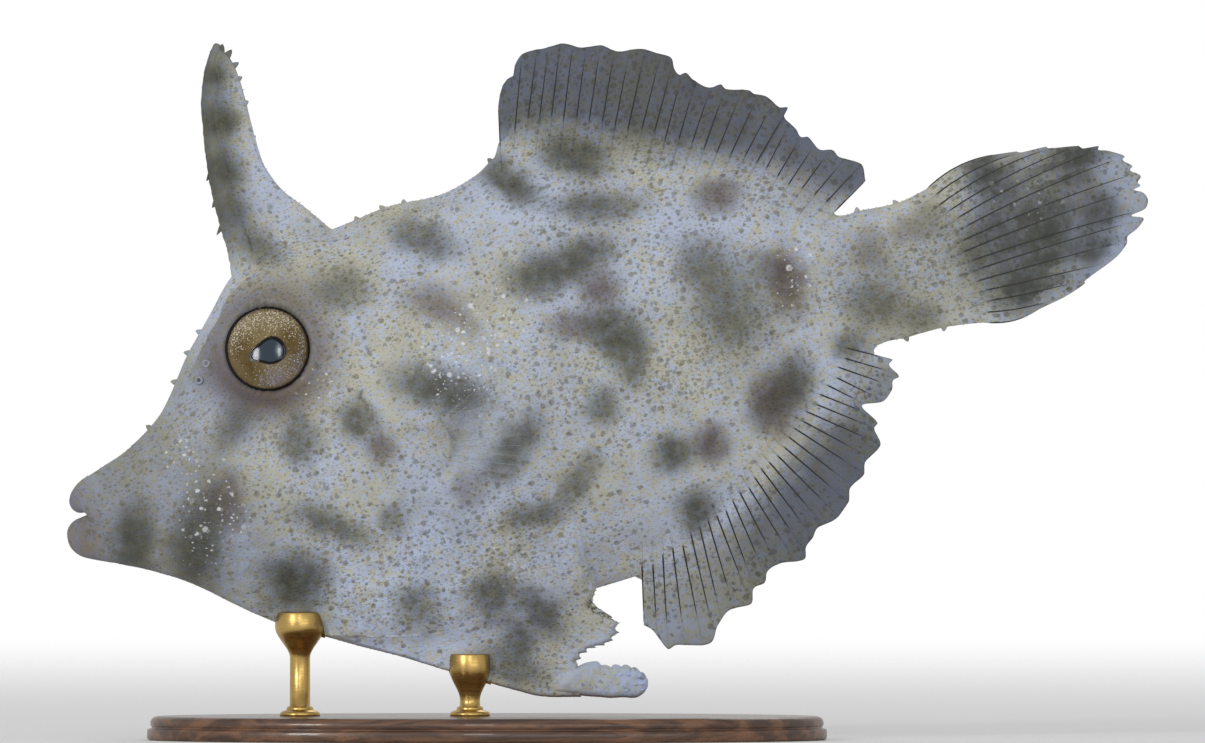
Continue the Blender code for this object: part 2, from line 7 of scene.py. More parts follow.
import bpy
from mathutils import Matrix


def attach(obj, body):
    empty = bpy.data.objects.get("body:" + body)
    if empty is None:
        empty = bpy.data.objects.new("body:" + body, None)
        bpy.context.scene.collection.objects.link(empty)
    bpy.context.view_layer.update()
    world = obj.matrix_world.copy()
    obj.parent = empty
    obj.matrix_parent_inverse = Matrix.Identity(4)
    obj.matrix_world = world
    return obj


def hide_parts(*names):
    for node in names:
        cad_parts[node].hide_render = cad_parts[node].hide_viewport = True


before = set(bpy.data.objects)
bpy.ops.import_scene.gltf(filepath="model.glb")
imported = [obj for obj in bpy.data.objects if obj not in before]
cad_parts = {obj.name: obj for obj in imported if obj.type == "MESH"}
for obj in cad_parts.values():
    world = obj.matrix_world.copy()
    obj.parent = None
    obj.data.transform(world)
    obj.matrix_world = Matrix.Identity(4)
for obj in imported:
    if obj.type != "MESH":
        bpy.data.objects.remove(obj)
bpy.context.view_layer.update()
print("nodes of the frame:", ", ".join(sorted(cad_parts)))

# %% [markdown]
# ## Two ways to name a place
# A fish is easiest to draw along its own axis: u runs from the mouth to the tail, v up to the back, and
# y to the fish's right, all in millimetres. The model stands nose down, so one turn and one shift
# take that drawing to the frame, in metres. Arrays of numpy hold many points at once, which keeps
# a mesh of 90,000 points quick to make.

# %% Axes and units
import math
import random

import bmesh
import bpy
import numpy as np
from mathutils import Vector
from mathutils.bvhtree import BVHTree

MM = 0.001
TILT = math.radians(17)
MOUTH_X, MOUTH_Z = -53.97, 22.2
COS, SIN = math.cos(TILT), math.sin(TILT)


def to_row(points):
    """Points (u, y, v) of the fish, in millimetres, as places in the frame, in metres."""
    u, y, v = np.moveaxis(np.asarray(points, float), -1, 0)
    return np.stack([MOUTH_X + u * COS - v * SIN, y, MOUTH_Z + u * SIN + v * COS], -1) * MM


def to_fish(places):
    """The way back: places in the frame as (u, y, v) of the fish."""
    x, y, z = np.moveaxis(np.asarray(places, float), -1, 0) / MM
    x, z = x - MOUTH_X, z - MOUTH_Z
    return np.stack([x * COS + z * SIN, y, z * COS - x * SIN], -1)


print("the mouth is at", to_row([0, 0, 0]).round(4))

# %% [markdown]
# ## The lines of the side view
# A boat builder fairs a hull from a few curves, and a fish is made the same way. These are the lines
# that the solid model was made from, so the fine skin lands where the solids are. Two rules
# turn them into curves: a height at any place along an axis, and a place along a bent path.

# %% Lines and curves
BACK = [(2.5, 3.3), (5, 3.9), (8, 4.9), (12, 7.3), (16, 11.8), (19.5, 15.2), (23, 18.4), (28, 19.9),
        (34, 19.9), (40, 20.4), (45, 20.0), (49, 20.8), (52.5, 22.4), (58.4, 22.2), (64, 19.6),
        (70, 16.3), (76, 12.7), (82, 6.7), (85, 6.2), (89, 5.9), (93, 6.6), (95, 6.8)]
THROAT = [(2.5, -5.4), (6, -7.2), (10, -9.9), (14, -13.6), (18, -16.9), (22, -19.0), (28, -20.9),
          (34, -22.2), (42, -22.8), (48.4, -22.2), (53, -22.2), (58.6, -21.8), (64.9, -19.4),
          (71.6, -15.4), (77.6, -11.1), (81.9, -7.4), (86, -7.3), (90.2, -7.5), (96, -8.7)]
KEEL = [(20, -18.1), (24, -20.65), (28, -23.1), (32, -25.8), (36, -28.4), (40, -30.85),
        (44, -32.15), (46, -32.7)]
HALF_WIDTH = [(2.5, 2.1), (6, 2.9), (10, 3.8), (15, 5.1), (20, 6.4), (26, 7.4), (34, 8.0), (44, 7.6),
              (54, 6.5), (64, 5.0), (74, 3.5), (82, 2.5), (88, 1.9), (92, 1.55), (94, 1.15), (96.5, 0.1)]
LEAN = [(0, 0), (10, 0), (20, 0.09), (33, 0.2), (46, 0.12), (60, 0), (82, 0), (94, -0.12), (97, -0.12)]
BACK_EDGE = [(0, 0.5), (20, 0.52), (40, 0.6), (80, 0.62), (95, 0.5)]
BELLY_EDGE = [(0, 0.5), (15, 0.55), (30, 0.7), (60, 0.72), (82, 0.6), (95, 0.5)]
WARP = math.log(0.5) / math.log(0.55)


def line_at(points, x):
    """The height at x of the smooth line through points given in order of x."""
    p = np.asarray(points, float)
    count = len(p)
    before, after = np.maximum(np.arange(count) - 1, 0), np.minimum(np.arange(count) + 1, count - 1)
    slope = (p[after, 1] - p[before, 1]) / (p[after, 0] - p[before, 0])
    x = np.clip(x, p[0, 0], p[-1, 0])
    k = np.clip(np.searchsorted(p[:, 0], x) - 1, 0, count - 2)
    step = p[k + 1, 0] - p[k, 0]
    t = (x - p[k, 0]) / step
    return ((2 * t**3 - 3 * t**2 + 1) * p[k, 1] + (t**3 - 2 * t**2 + t) * step * slope[k]
            + (3 * t**2 - 2 * t**3) * p[k + 1, 1] + (t**3 - t**2) * step * slope[k + 1])


def path_at(points, share):
    """The points these shares of the way along a smooth path."""
    p = np.asarray(points, float)
    along = np.concatenate([[0], np.cumsum(np.linalg.norm(np.diff(p, axis=0), axis=1))])
    place = np.asarray(share, float) * along[-1]
    return np.stack([line_at(np.stack([along, p[:, axis]], -1), place) for axis in range(p.shape[1])], -1)


def smooth(low, high, x):
    """A soft step, from 0 at low to 1 at high."""
    t = np.clip((np.asarray(x, float) - low) / (high - low), 0, 1)
    return t * t * (3 - 2 * t)


def cloud(places, wave, seed):
    """Smooth noise of about -1 to 1 at places, from crossed waves of about this length."""
    draw = np.random.default_rng(seed)
    total = 0
    for _ in range(8):
        way = draw.normal(size=3)
        way *= 2 * np.pi / (wave * draw.uniform(0.7, 1.5) * np.linalg.norm(way))
        total = total + np.sin(places @ way + draw.uniform(0, 2 * np.pi))
    return total / 4


print("the body is deepest at u = 52:", line_at(BACK, 52).round(1), "to", line_at(THROAT, 52).round(1))

# %% [markdown]
# ## One ring of the trunk
# Cut across, the trunk is a tall oval, rounder at the back than at the belly. Each ring is named by
# its place on the axis, and a point of it by its height from 0 to 1. The same rule answers where
# the flank is below an eye, a nostril or a fin, so that all of them can be set on the surface.

# %% The trunk's surface


def ring_ends(a):
    """The top and bottom, as (u, v), of the leaning cross lines at these places on the axis."""
    ends = []
    for line in (BACK, THROAT):
        u = a
        for _ in range(12):
            u = a + line_at(LEAN, a) * line_at(line, u)
        ends.append(np.stack([u, line_at(line, u)], -1))
    return ends


def trunk(a, height):
    """Points (u, y, v) of the right flank at places on the axis and heights from belly to back."""
    top, bottom = ring_ends(a)
    x = 2 * height**WARP - 1
    blunt = np.where(x > 0, line_at(BACK_EDGE, a), line_at(BELLY_EDGE, a))
    y = line_at(HALF_WIDTH, a) * np.maximum(1 - x * x, 0) ** blunt
    place = bottom + (top - bottom) * np.asarray(height)[..., None]
    return np.stack([place[..., 0], y, place[..., 1]], -1)


def flank(u, v):
    """How far the flank is from the middle plane at (u, v)."""
    u, v = np.asarray(u, float), np.asarray(v, float)
    a = u - line_at(LEAN, u) * v
    top, bottom = ring_ends(a)
    height = np.clip((v - bottom[..., 1]) / (top[..., 1] - bottom[..., 1]), 0, 1)
    return trunk(a, height)[..., 1]


print("half the thickness below the eye:", flank(24.2, 10.3).round(2), "mm")

# %% [markdown]
# ## The pattern of the skin
# The fish wears three kinds of mark: soft olive-grey blotches, fewer purple-brown ones, and clusters
# of tiny pale dots. A fourth list says where dark speckles crowd. All places are listed here, in
# millimetres on the side view of the model, x along it and z above its base. Each is a blurred oval
# whose edge is bent by noise. The right flank gets the same marks, moved a little, because no fish
# is alike on both sides.
# Flecks need a flat drawing of the skin, or they would smear where it turns over the back: height on
# the drawing is the height on the fish plus most of the way that the flank falls away sideways.
# The result is stored at each point of the mesh, so that skin, spinules and fins carry one pattern.

# %% Blotches, plum patches, pale dots and speckled places
# x, z, half length, half height, turn in degrees, strength
OLIVE = [(-39.4, 66.4, 1.4, 1.3, 0, 0.9), (-38.8, 62.0, 2.2, 1.8, 0, 1.0),
         (-38.4, 57.0, 2.2, 1.9, 0, 0.95), (-37.4, 53.0, 1.8, 1.6, 0, 0.6),
         (-34.5, 49.3, 3.1, 1.8, -25, 0.7), (-26.4, 44.9, 3.3, 2.5, 0, 0.7),
         (-18.4, 50.1, 3.9, 2.0, -20, 0.8), (-9.7, 55.8, 3.8, 2.0, -35, 1.0),
         (-3.2, 58.3, 4.3, 2.5, -8, 0.95), (-1.2, 53.3, 5.2, 1.9, 0, 0.85),
         (-6.4, 46.4, 4.3, 2.5, 8, 0.95), (-2.3, 48.3, 3.9, 2.2, 22, 0.95),
         (0.7, 40.8, 3.5, 2.7, -25, 1.0), (2.4, 38.0, 2.3, 2.8, 15, 0.85),
         (-16.6, 35.1, 5.5, 2.3, -12, 0.95), (-14.8, 33.9, 2.9, 2.0, -10, 0.8),
         (-25.0, 32.1, 2.2, 2.3, 0, 0.9), (-37.2, 31.6, 2.1, 3.1, -35, 0.8),
         (-41.7, 35.9, 1.7, 2.6, -25, 0.12), (-30.7, 30.0, 2.4, 3.0, 0, 0.75),
         (-9.4, 29.3, 4.4, 2.3, 55, 1.0), (-0.6, 33.2, 2.0, 2.2, -40, 0.75),
         (-3.0, 25.8, 4.2, 1.6, 55, 0.7), (-7.4, 22.4, 3.3, 1.7, 10, 0.8),
         (-27.6, 21.6, 4.6, 1.7, -25, 0.8), (-21.2, 22.1, 1.8, 1.7, 0, 0.6),
         (-47.4, 19.8, 2.5, 4.6, -5, 0.97), (-40.9, 19.8, 2.9, 5.8, -8, 0.97),
         (-31.2, 15.8, 3.9, 3.4, 0, 1.0), (-18.9, 13.4, 2.8, 3.0, 0, 0.65),
         (-11.4, 14.4, 2.8, 2.9, 0, 0.85), (-6.6, 12.9, 3.8, 1.7, -50, 0.8),
         (-8.8, 10.0, 2.4, 2.2, 0, 0.85), (-9.6, 7.2, 4.2, 2.3, -20, 0.75),
         (9.6, 47.2, 2.8, 3.6, 15, 0.75), (12.4, 42.4, 4.0, 3.8, 0, 0.72), (12.6, 46.6, 3.0, 2.6, 0, 0.4),
         (13.6, 41.2, 6.0, 5.4, 0, 0.25), (15.8, 47.2, 2.2, 2.0, 0, 0.35), (6.6, 28.7, 2.5, 2.4, 0, 0.95),
         (8.9, 22.9, 2.2, 2.6, 0, 1.0), (28.0, 45.5, 7.0, 5.0, 0, 0.35), (26.8, 43.4, 3.2, 2.8, 0, 0.7),
         (24.4, 39.4, 2.1, 1.7, 0, 0.8), (32.2, 52.0, 2.1, 2.0, 0, 0.55), (31.6, 42.2, 2.4, 1.8, 0, 0.6),
         (18.6, 36.0, 2.3, 3.1, 0, 0.9), (16.6, 33.4, 2.4, 2.6, 0, 0.4), (-44.4, 30.4, 1.5, 1.9, 0, 0.08),
         (-39.2, 25.4, 3.4, 4.6, 0, 0.25), (42.0, 50.6, 8.8, 7.2, 20, 0.85),
         (38.0, 56.4, 3.3, 2.2, -25, 0.95), (45.9, 57.0, 3.8, 2.2, 10, 1.0),
         (49.4, 53.2, 2.2, 2.6, 0, 0.85), (43.8, 51.8, 3.6, 2.4, 15, 0.85),
         (37.6, 49.2, 2.8, 3.0, 0, 0.8), (44.1, 49.2, 2.6, 2.4, 0, 0.85), (41.6, 45.2, 4.0, 2.5, 15, 1.0),
         (48.8, 49.2, 2.2, 2.3, 0, 0.85)]
PLUM = [(11.1, 54.4, 2.7, 2.1, 0, 0.85), (-0.7, 45.0, 2.4, 2.1, 0, 0.9), (-17.5, 43.8, 3.2, 2.2, 0, 0.6),
        (-15.3, 42.3, 2.6, 1.6, -30, 0.55), (-22.4, 29.3, 1.9, 2.2, 0, 0.8),
        (-16.2, 31.0, 3.4, 1.9, 0, 0.4), (-13.7, 25.1, 2.0, 2.1, 0, 0.55),
        (17.8, 46.0, 2.5, 4.0, 15, 1.0), (16.8, 33.8, 3.2, 3.7, 0, 1.0), (10.4, 29.6, 2.1, 2.2, 0, 0.95),
        (-3.4, 41.4, 3.2, 1.8, 0, 0.75), (-38.2, 23.8, 2.6, 3.3, 0, 0.85), (26.1, 49.0, 2.3, 2.3, 0, 0.6),
        (29.9, 50.9, 2.0, 1.8, 0, 0.55)]
PALE_DOTS = [(-39.5, 22.6, 4.2, 7.0, 0, 0.8), (-13.7, 38.1, 6.0, 6.5, 0, 1.0),
             (-10.0, 43.5, 5.0, 4.0, 0, 0.5), (18.8, 46.3, 3.2, 4.6, 0, 0.8),
             (-28.6, 35.6, 3.6, 3.2, 0, 0.6), (-8.7, 18.1, 6.5, 4.5, 0, 0.5),
             (41.8, 53.4, 5.4, 4.8, 0, 0.3), (-42.0, 28.5, 2.6, 1.8, 0, 0.9)]
SPECKLED = [(1.0, 52.0, 12, 8, 0, 0.8), (10.5, 50.5, 6, 5, 0, 0.8), (8.0, 42.0, 9, 9, 0, 0.9),
            (-4.0, 38.0, 6, 6, 0, 0.8), (-14.0, 20.0, 13, 6, 0, 0.6), (-30.0, 32.0, 7, 7, 0, 0.6),
            (-34.0, 50.0, 5, 4, 0, 0.6), (-24.0, 46.0, 9, 3, 0, 0.6), (29.0, 46.0, 7, 5, 0, 0.9),
            (-4.0, 64.0, 10, 5, 0, 0.9), (8.0, 61.0, 10, 4, -15, 0.6), (-23.0, 17.0, 7, 5, 0, 0.9),
            (33.0, 46.0, 5, 4, 0, 0.6)]
print(len(OLIVE), "olive blotches,", len(PLUM), "plum patches,", len(PALE_DOTS), "clusters of pale dots")

# %% Which marks a place lies in
EDGE_NOISE, MOST_SHIFT_X, MOST_SHIFT_Z = 0.28, 1.8, 1.4


def patches(spots, places):
    """How far inside a set of soft-edged ovals each place is, from 0 to 1. Places are in millimetres."""
    x = places[:, 0] + EDGE_NOISE * (cloud(places, 3.2, 11) + 0.6 * cloud(places, 1.4, 12))
    z = places[:, 2] + EDGE_NOISE * (cloud(places, 3.2, 13) + 0.6 * cloud(places, 1.4, 14))
    right = places[:, 1] > 0
    draw = random.Random("right flank")
    left_clear = np.ones(len(x))
    for spot_x, spot_z, long, high, turn, strength in spots:
        off_x = x - spot_x - right * draw.uniform(-MOST_SHIFT_X, MOST_SHIFT_X)
        off_z = z - spot_z - right * draw.uniform(-MOST_SHIFT_Z, MOST_SHIFT_Z)
        c, s = math.cos(math.radians(turn)), math.sin(math.radians(turn))
        reach = np.hypot((off_x * c + off_z * s) / long, (off_z * c - off_x * s) / high)
        left_clear *= 1 - strength * (1 - smooth(0.25, 1.4, reach))
    return 1 - left_clear


def paint(red, green, blue):
    """A screen colour, from 0 to 255, as the linear colour that a shader wants."""
    return tuple(c / 12.92 if c <= 0.04045 else ((c + 0.055) / 1.055) ** 2.4
                 for c in (red / 255, green / 255, blue / 255))


def layered(count, layers):
    """Thin washes of (colour, amount) laid one over the other, as one colour and one amount."""
    colour, amount = np.zeros((count, 3)), np.zeros(count)
    for wash, share in layers:
        both = share + amount * (1 - share)
        mixed = np.array(wash) * share[:, None] + colour * (amount * (1 - share))[:, None]
        colour = mixed / np.maximum(both, 1e-6)[:, None]
        amount = both
    return np.column_stack([colour, amount])


# the share of a flank's height where it is widest, and of its fall that counts on the flat drawing
WIDEST, PRESSED = 0.55, 0.8


def laid_flat(points):
    """Where points (u, y, v) lie when the skin is peeled off each flank and pressed flat."""
    u, y, v = points.T
    a = u - line_at(LEAN, u) * v
    top, bottom = ring_ends(a)
    above = v > bottom[:, 1] + WIDEST * (top[:, 1] - bottom[:, 1])
    fold = PRESSED * np.maximum(line_at(HALF_WIDTH, a) - np.abs(y), 0)
    return np.column_stack([u, v + np.where(above, fold, -fold), 0 * u])

# %% Storing the pattern on a mesh
FIELDS = {"FLOAT": "value", "FLOAT_COLOR": "color", "FLOAT_VECTOR": "vector"}


def read(mesh, field="co"):
    """One vector for each point of a mesh: its place in the frame, or its normal."""
    flat = np.empty(len(mesh.vertices) * 3, np.float32)
    mesh.vertices.foreach_get(field, flat)
    return flat.reshape(-1, 3)


def store(mesh, name, kind, values):
    """Writes one value for each point of a mesh, under a name."""
    layer = mesh.attributes.get(name) or mesh.attributes.new(name, kind, "POINT")
    layer.data.foreach_set(FIELDS[kind], np.asarray(values, np.float32).ravel())


def add_marks(made, washes=()):
    """Stores the pattern, and any washes of colour, at each point of an object's mesh."""
    places = read(made.data).astype(float) / MM
    for name, spots in (("olive", OLIVE), ("plum", PLUM), ("dots", PALE_DOTS), ("speckled", SPECKLED)):
        store(made.data, name, "FLOAT", patches(spots, places))
    store(made.data, "laid_flat", "FLOAT_VECTOR", laid_flat(to_fish(places * MM)))
    store(made.data, "wash", "FLOAT_COLOR", layered(len(places), washes))


print("stored by name:", ", ".join(("olive", "plum", "dots", "speckled", "laid_flat", "wash")))

# %% [markdown]
# ## Small helpers for nodes
# Shaders and Geometry Nodes are both trees of nodes. Adding a node, setting its options and filling its
# sockets takes many lines, so one helper does all three: a value is set on the socket, and another
# node's output is linked to it. Groups get their sockets by name, with a starting value.

# %% Node helpers


def node(tree, kind, inputs=None, **options):
    """Adds a node, sets its options, and fills its sockets with values or links."""
    made = tree.nodes.new(kind)
    for name, value in options.items():
        setattr(made, name, value)
    for key, value in (inputs or {}).items():
        if isinstance(value, bpy.types.NodeSocket):
            tree.links.new(value, made.inputs[key])
        else:
            made.inputs[key].default_value = value
    return made


def maths(tree, operation, *values):
    """The result of one operation on numbers."""
    return node(tree, "ShaderNodeMath", dict(enumerate(values)), operation=operation).outputs[0]


def vectors(tree, operation, *values):
    """The result of one operation on vectors."""
    return node(tree, "ShaderNodeVectorMath", dict(enumerate(values)), operation=operation).outputs[0]


def scaled(tree, vector, factor):
    """A vector times a number."""
    return node(tree, "ShaderNodeVectorMath", {0: vector, "Scale": factor}, operation="SCALE").outputs[0]


def noise(tree, place, scale, detail, **more):
    """Soft noise at a place."""
    inputs = {"Vector": place, "Scale": scale, "Detail": detail, **more}
    return node(tree, "ShaderNodeTexNoise", inputs).outputs[0]


def ramp(tree, value, low, high, at_low=0.0, at_high=1.0):
    """A soft step of a value between two limits."""
    return node(tree, "ShaderNodeMapRange",
                {"Value": value, "From Min": low, "From Max": high, "To Min": at_low, "To Max": at_high},
                interpolation_type="SMOOTHSTEP").outputs["Result"]


def over(tree, amount, below, above):
    """One colour laid over another by an amount."""
    colours = {0: amount}
    for key, colour in ((6, below), (7, above)):
        colours[key] = (*colour, 1) if isinstance(colour, tuple) else colour
    return node(tree, "ShaderNodeMix", colours, data_type="RGBA").outputs[2]


def stored(tree, name, output="Fac"):
    """The value that a mesh stores under a name."""
    return node(tree, "ShaderNodeAttribute", attribute_name=name).outputs[output]


def new_group(name, kind, inputs, outputs):
    """An empty group with named sockets, and its input and output nodes."""
    tree = bpy.data.node_groups.new(name, kind)
    for title, socket, value in inputs:
        made = tree.interface.new_socket(title, in_out="INPUT", socket_type="NodeSocket" + socket)
        if value is not None:
            made.default_value = value
    for title, socket in outputs:
        tree.interface.new_socket(title, in_out="OUTPUT", socket_type="NodeSocket" + socket)
    return tree, tree.nodes.new("NodeGroupInput").outputs, tree.nodes.new("NodeGroupOutput").inputs


def in_mm(tree):
    """The place on the object, in millimetres."""
    return scaled(tree, node(tree, "ShaderNodeTexCoord").outputs["Object"], 1 / MM)


print("helpers for nodes:", ", ".join(f.__name__ for f in (node, maths, vectors, noise, ramp, over, stored)))

# %% [markdown]
# ## Groups that several finishes share
# Close up, the skin is a mosaic: fine threads of pale blue run through beige, in patches of half a
# millimetre. Over it lie speckles with soft edges, of many sizes. Both also show on the fins and on
# the horn, so each is a group with its sizes as inputs. A third group gives the fine grain that
# makes the skin velvety. Cells of a Voronoi texture make good speckles, because each cell also
# carries a random number that can pick its size. They are cells of the flat drawing of the skin,
# since a surface that cuts through solid cells would shave most of them.

# %% Mosaic
mosaic, given, result = new_group(
    "Mosaic of pale blue and beige", "ShaderNodeTree",
    [("Patch Size", "Float", 0.65), ("Blue", "Color", (*paint(176, 186, 208), 1)),
     ("Beige", "Color", (*paint(180, 178, 160), 1)), ("Blue Share", "Float", 0.51)],
    [("Color", "Color")])
SHADOW_GREY = paint(128, 131, 128)
where = in_mm(mosaic)
fine_scale = maths(mosaic, "DIVIDE", 1, given["Patch Size"])
fine = noise(mosaic, where, fine_scale, 3.5, Roughness=0.62, Distortion=1.0)
broad = noise(mosaic, where, 0.11, 2.0)
level = maths(mosaic, "ADD", fine, maths(mosaic, "MULTIPLY", maths(mosaic, "SUBTRACT", broad, 0.5), 0.55))
level = maths(mosaic, "ADD", level, maths(mosaic, "SUBTRACT", given["Blue Share"], 0.5))
blended = over(mosaic, ramp(mosaic, level, 0.38, 0.64), given["Beige"], given["Blue"])
shadows = ramp(mosaic, noise(mosaic, where, 0.28, 3.0), 0.35, 0.75, 0.0, 0.3)
mosaic.links.new(over(mosaic, shadows, blended, SHADOW_GREY), result["Color"])

# %% Speckles
speckles, given, result = new_group(
    "Ragged speckles", "ShaderNodeTree",
    [("Place", "Vector", None), ("Spacing", "Float", 0.9), ("Largest", "Float", 0.4), ("Share", "Float", 0.5),
     ("Pale Share", "Float", 0.0), ("Blur", "Float", 0.5)],
    [("Dark", "Float"), ("Pale", "Float")])
RAGGED, HALF = (0.34, 0.34, 0.34), (0.5, 0.5, 0.5)
torn = node(speckles, "ShaderNodeTexNoise", {"Vector": given["Place"], "Scale": 3.6, "Detail": 1.5})
torn = vectors(speckles, "SUBTRACT", torn.outputs["Color"], HALF)
where = vectors(speckles, "MULTIPLY_ADD", torn, RAGGED, given["Place"])
cell_scale = maths(speckles, "DIVIDE", 1, given["Spacing"])
cells = node(speckles, "ShaderNodeTexVoronoi", {"Vector": where, "Scale": cell_scale},
             voronoi_dimensions="2D").outputs
lots = node(speckles, "ShaderNodeSeparateColor", {0: cells["Color"]}).outputs
radius = maths(speckles, "DIVIDE", given["Largest"], given["Spacing"])
radius = maths(speckles, "MULTIPLY", radius, ramp(speckles, lots[1], 0.0, 1.0, 0.4, 1.0))
inner = maths(speckles, "MULTIPLY", radius, maths(speckles, "SUBTRACT", 1, given["Blur"]))
dot = ramp(speckles, cells["Distance"], inner, radius, 1.0, 0.0)
dot = maths(speckles, "MULTIPLY", dot, ramp(speckles, lots[1], 0.0, 1.0, 0.65, 1.0))
for share, lot, output in (("Pale Share", lots[2], "Pale"), ("Share", lots[0], "Dark")):
    chosen = ramp(speckles, maths(speckles, "SUBTRACT", given[share], lot), 0.0, 0.15)
    speckles.links.new(maths(speckles, "MULTIPLY", dot, chosen), result[output])

# %% Grain
grain, given, result = new_group(
    "Velvet grain", "ShaderNodeTree",
    [("Grain Size", "Float", 0.22), ("Pitted", "Float", 0.5)], [("Height", "Float")])
where = in_mm(grain)
cell_scale = maths(grain, "DIVIDE", 1, given["Grain Size"])
pits = node(grain, "ShaderNodeTexVoronoi", {"Vector": where, "Scale": cell_scale},
            feature="SMOOTH_F1").outputs["Distance"]
folds = noise(grain, where, 1.3, 4.0)
pitted = maths(grain, "MULTIPLY", pits, given["Pitted"])
grain.links.new(maths(grain, "ADD", folds, pitted), result["Height"])
print("shader groups:", [g.name for g in bpy.data.node_groups])

# %% [markdown]
# ## The finish of all flesh
# One function mixes the finish for skin, horn and fins: first the mosaic, then the stored wash of
# colour (mauve on the lips, slate on the fins), which dims the mosaic as a glaze does, so that it
# stays visible. Blotches, speckles and pale dots follow. A blotch isn't flat: noise lets the mosaic
# show through it. Each finish gets its own values.

# %% Colours of the flesh
OLIVE_GREY, PLUM_BROWN = paint(62, 64, 55), paint(78, 63, 60)
SPECKLE_GREY, DOT_WHITE = paint(92, 88, 68), paint(224, 227, 230)
SLATE, MAUVE, OCHRE = paint(84, 88, 100), paint(116, 110, 114), paint(138, 116, 78)
DORSAL_SLATE, ANAL_SLATE, TAIL_SLATE = paint(67, 70, 78), paint(66, 68, 72), paint(120, 124, 134)
# the second colour is painted shade for the gill slit and the nostril pits, and also the rays' own dark stretch
HALO, PAINTED_SHADE_AND_RAY_DARK, HORN_GREY = paint(80, 61, 54), paint(26, 24, 25), paint(76, 78, 74)

# spacing, largest radius and strength of each size of speckle, in millimetres
SPECKLE_SIZES = ((1.05, 0.42, 0.55), (0.6, 0.25, 0.55), (0.33, 0.13, 0.45))
MOSAIC_MEAN, FLANKS_APART, PALE_SHARE, PALE_STRENGTH = 0.455, 137.0, 0.27, 0.75
print("one flank's speckles lie", FLANKS_APART, "mm from the other's on the flat drawing")

# %% Parts of the flesh finish


def use(tree, which, **inputs):
    """Places a group in a tree, and returns its outputs."""
    made = node(tree, "ShaderNodeGroup", node_tree=which)
    for name, value in inputs.items():
        socket = made.inputs[name.replace("_", " ")]
        if isinstance(value, bpy.types.NodeSocket):
            tree.links.new(value, socket)
        else:
            socket.default_value = value
    return made.outputs


def new_finish(name):
    """A new material, its tree of nodes and its shader."""
    material = bpy.data.materials.new(name)
    material.use_nodes = True
    return material, material.node_tree, material.node_tree.nodes["Principled BSDF"]


def emboss(tree, shader, height, strength, depth):
    """Lets a height, with its depth in millimetres, bend the light on a shader."""
    relief = node(tree, "ShaderNodeBump", {"Strength": strength, "Distance": depth * MM, "Height": height})
    tree.links.new(relief.outputs[0], shader.inputs["Normal"])


def glazed(tree):
    """The mosaic under the stored wash of colour."""
    colour = use(tree, mosaic)[0]
    wash = node(tree, "ShaderNodeAttribute", attribute_name="wash").outputs
    tinted = scaled(tree, vectors(tree, "MULTIPLY", wash["Color"], colour), 1 / MOSAIC_MEAN)
    return over(tree, wash["Alpha"], colour, tinted)


def crowding(tree, speckle):
    """The share of cells that hold a speckle: it comes in clumps, and grows on blotches."""
    crowd = ramp(tree, noise(tree, in_mm(tree), 0.16, 2.0), 0.3, 0.7, speckle - 0.32, speckle + 0.28)
    for name, more in (("speckled", 0.5), ("olive", 0.4)):
        crowd = maths(tree, "MULTIPLY_ADD", stored(tree, name), more, crowd)
    return crowd


def flat_place(tree):
    """The place on the flat drawing of the skin, with the right flank moved far from the left one."""
    y = node(tree, "ShaderNodeSeparateXYZ", {0: in_mm(tree)}).outputs[1]
    shift = maths(tree, "MULTIPLY", maths(tree, "GREATER_THAN", y, 0.0), FLANKS_APART)
    apart = node(tree, "ShaderNodeCombineXYZ", {0: shift}).outputs[0]
    return vectors(tree, "ADD", stored(tree, "laid_flat", "Vector"), apart)


# %% Flesh finish


def flesh(name, speckle=0.42, bumps=0.35, grain_size=0.22, rough=(0.52, 0.7), sheen=0.08, blotch=1.0,
          fleck=SPECKLE_GREY, gloss=0.4, olive=OLIVE_GREY):
    """A finish of mosaic, wash, blotches, speckles and dots over a fine grain."""
    material, tree, shader = new_finish(name)
    colour = glazed(tree)
    thin = ramp(tree, noise(tree, in_mm(tree), 0.8, 3.0), 0.25, 0.62, 0.8, 1.0)
    for mark, tone, most in (("plum", PLUM_BROWN, 0.95), ("olive", olive, 0.97)):
        amount = maths(tree, "MULTIPLY", stored(tree, mark), maths(tree, "MULTIPLY", thin, most * blotch))
        colour = over(tree, amount, colour, tone)
    crowd, flat = crowding(tree, speckle), flat_place(tree)
    pale = maths(tree, "MULTIPLY", stored(tree, "dots"), PALE_SHARE)
    for spacing, largest, strength in SPECKLE_SIZES:
        masks = use(tree, speckles, Place=flat, Spacing=spacing, Largest=largest, Share=crowd,
                    Pale_Share=pale)
        colour = over(tree, maths(tree, "MULTIPLY", masks["Dark"], strength), colour, fleck)
        colour = over(tree, maths(tree, "MULTIPLY", masks["Pale"], PALE_STRENGTH), colour, DOT_WHITE)
    tree.links.new(colour, shader.inputs["Base Color"])
    height = use(tree, grain, Grain_Size=grain_size)[0]
    emboss(tree, shader, height, bumps, 0.12)
    tree.links.new(ramp(tree, height, 0.3, 1.1, *rough), shader.inputs["Roughness"])
    shader.inputs["Sheen Weight"].default_value = sheen
    shader.inputs["Specular IOR Level"].default_value = gloss
    print("finish:", name)
    return material


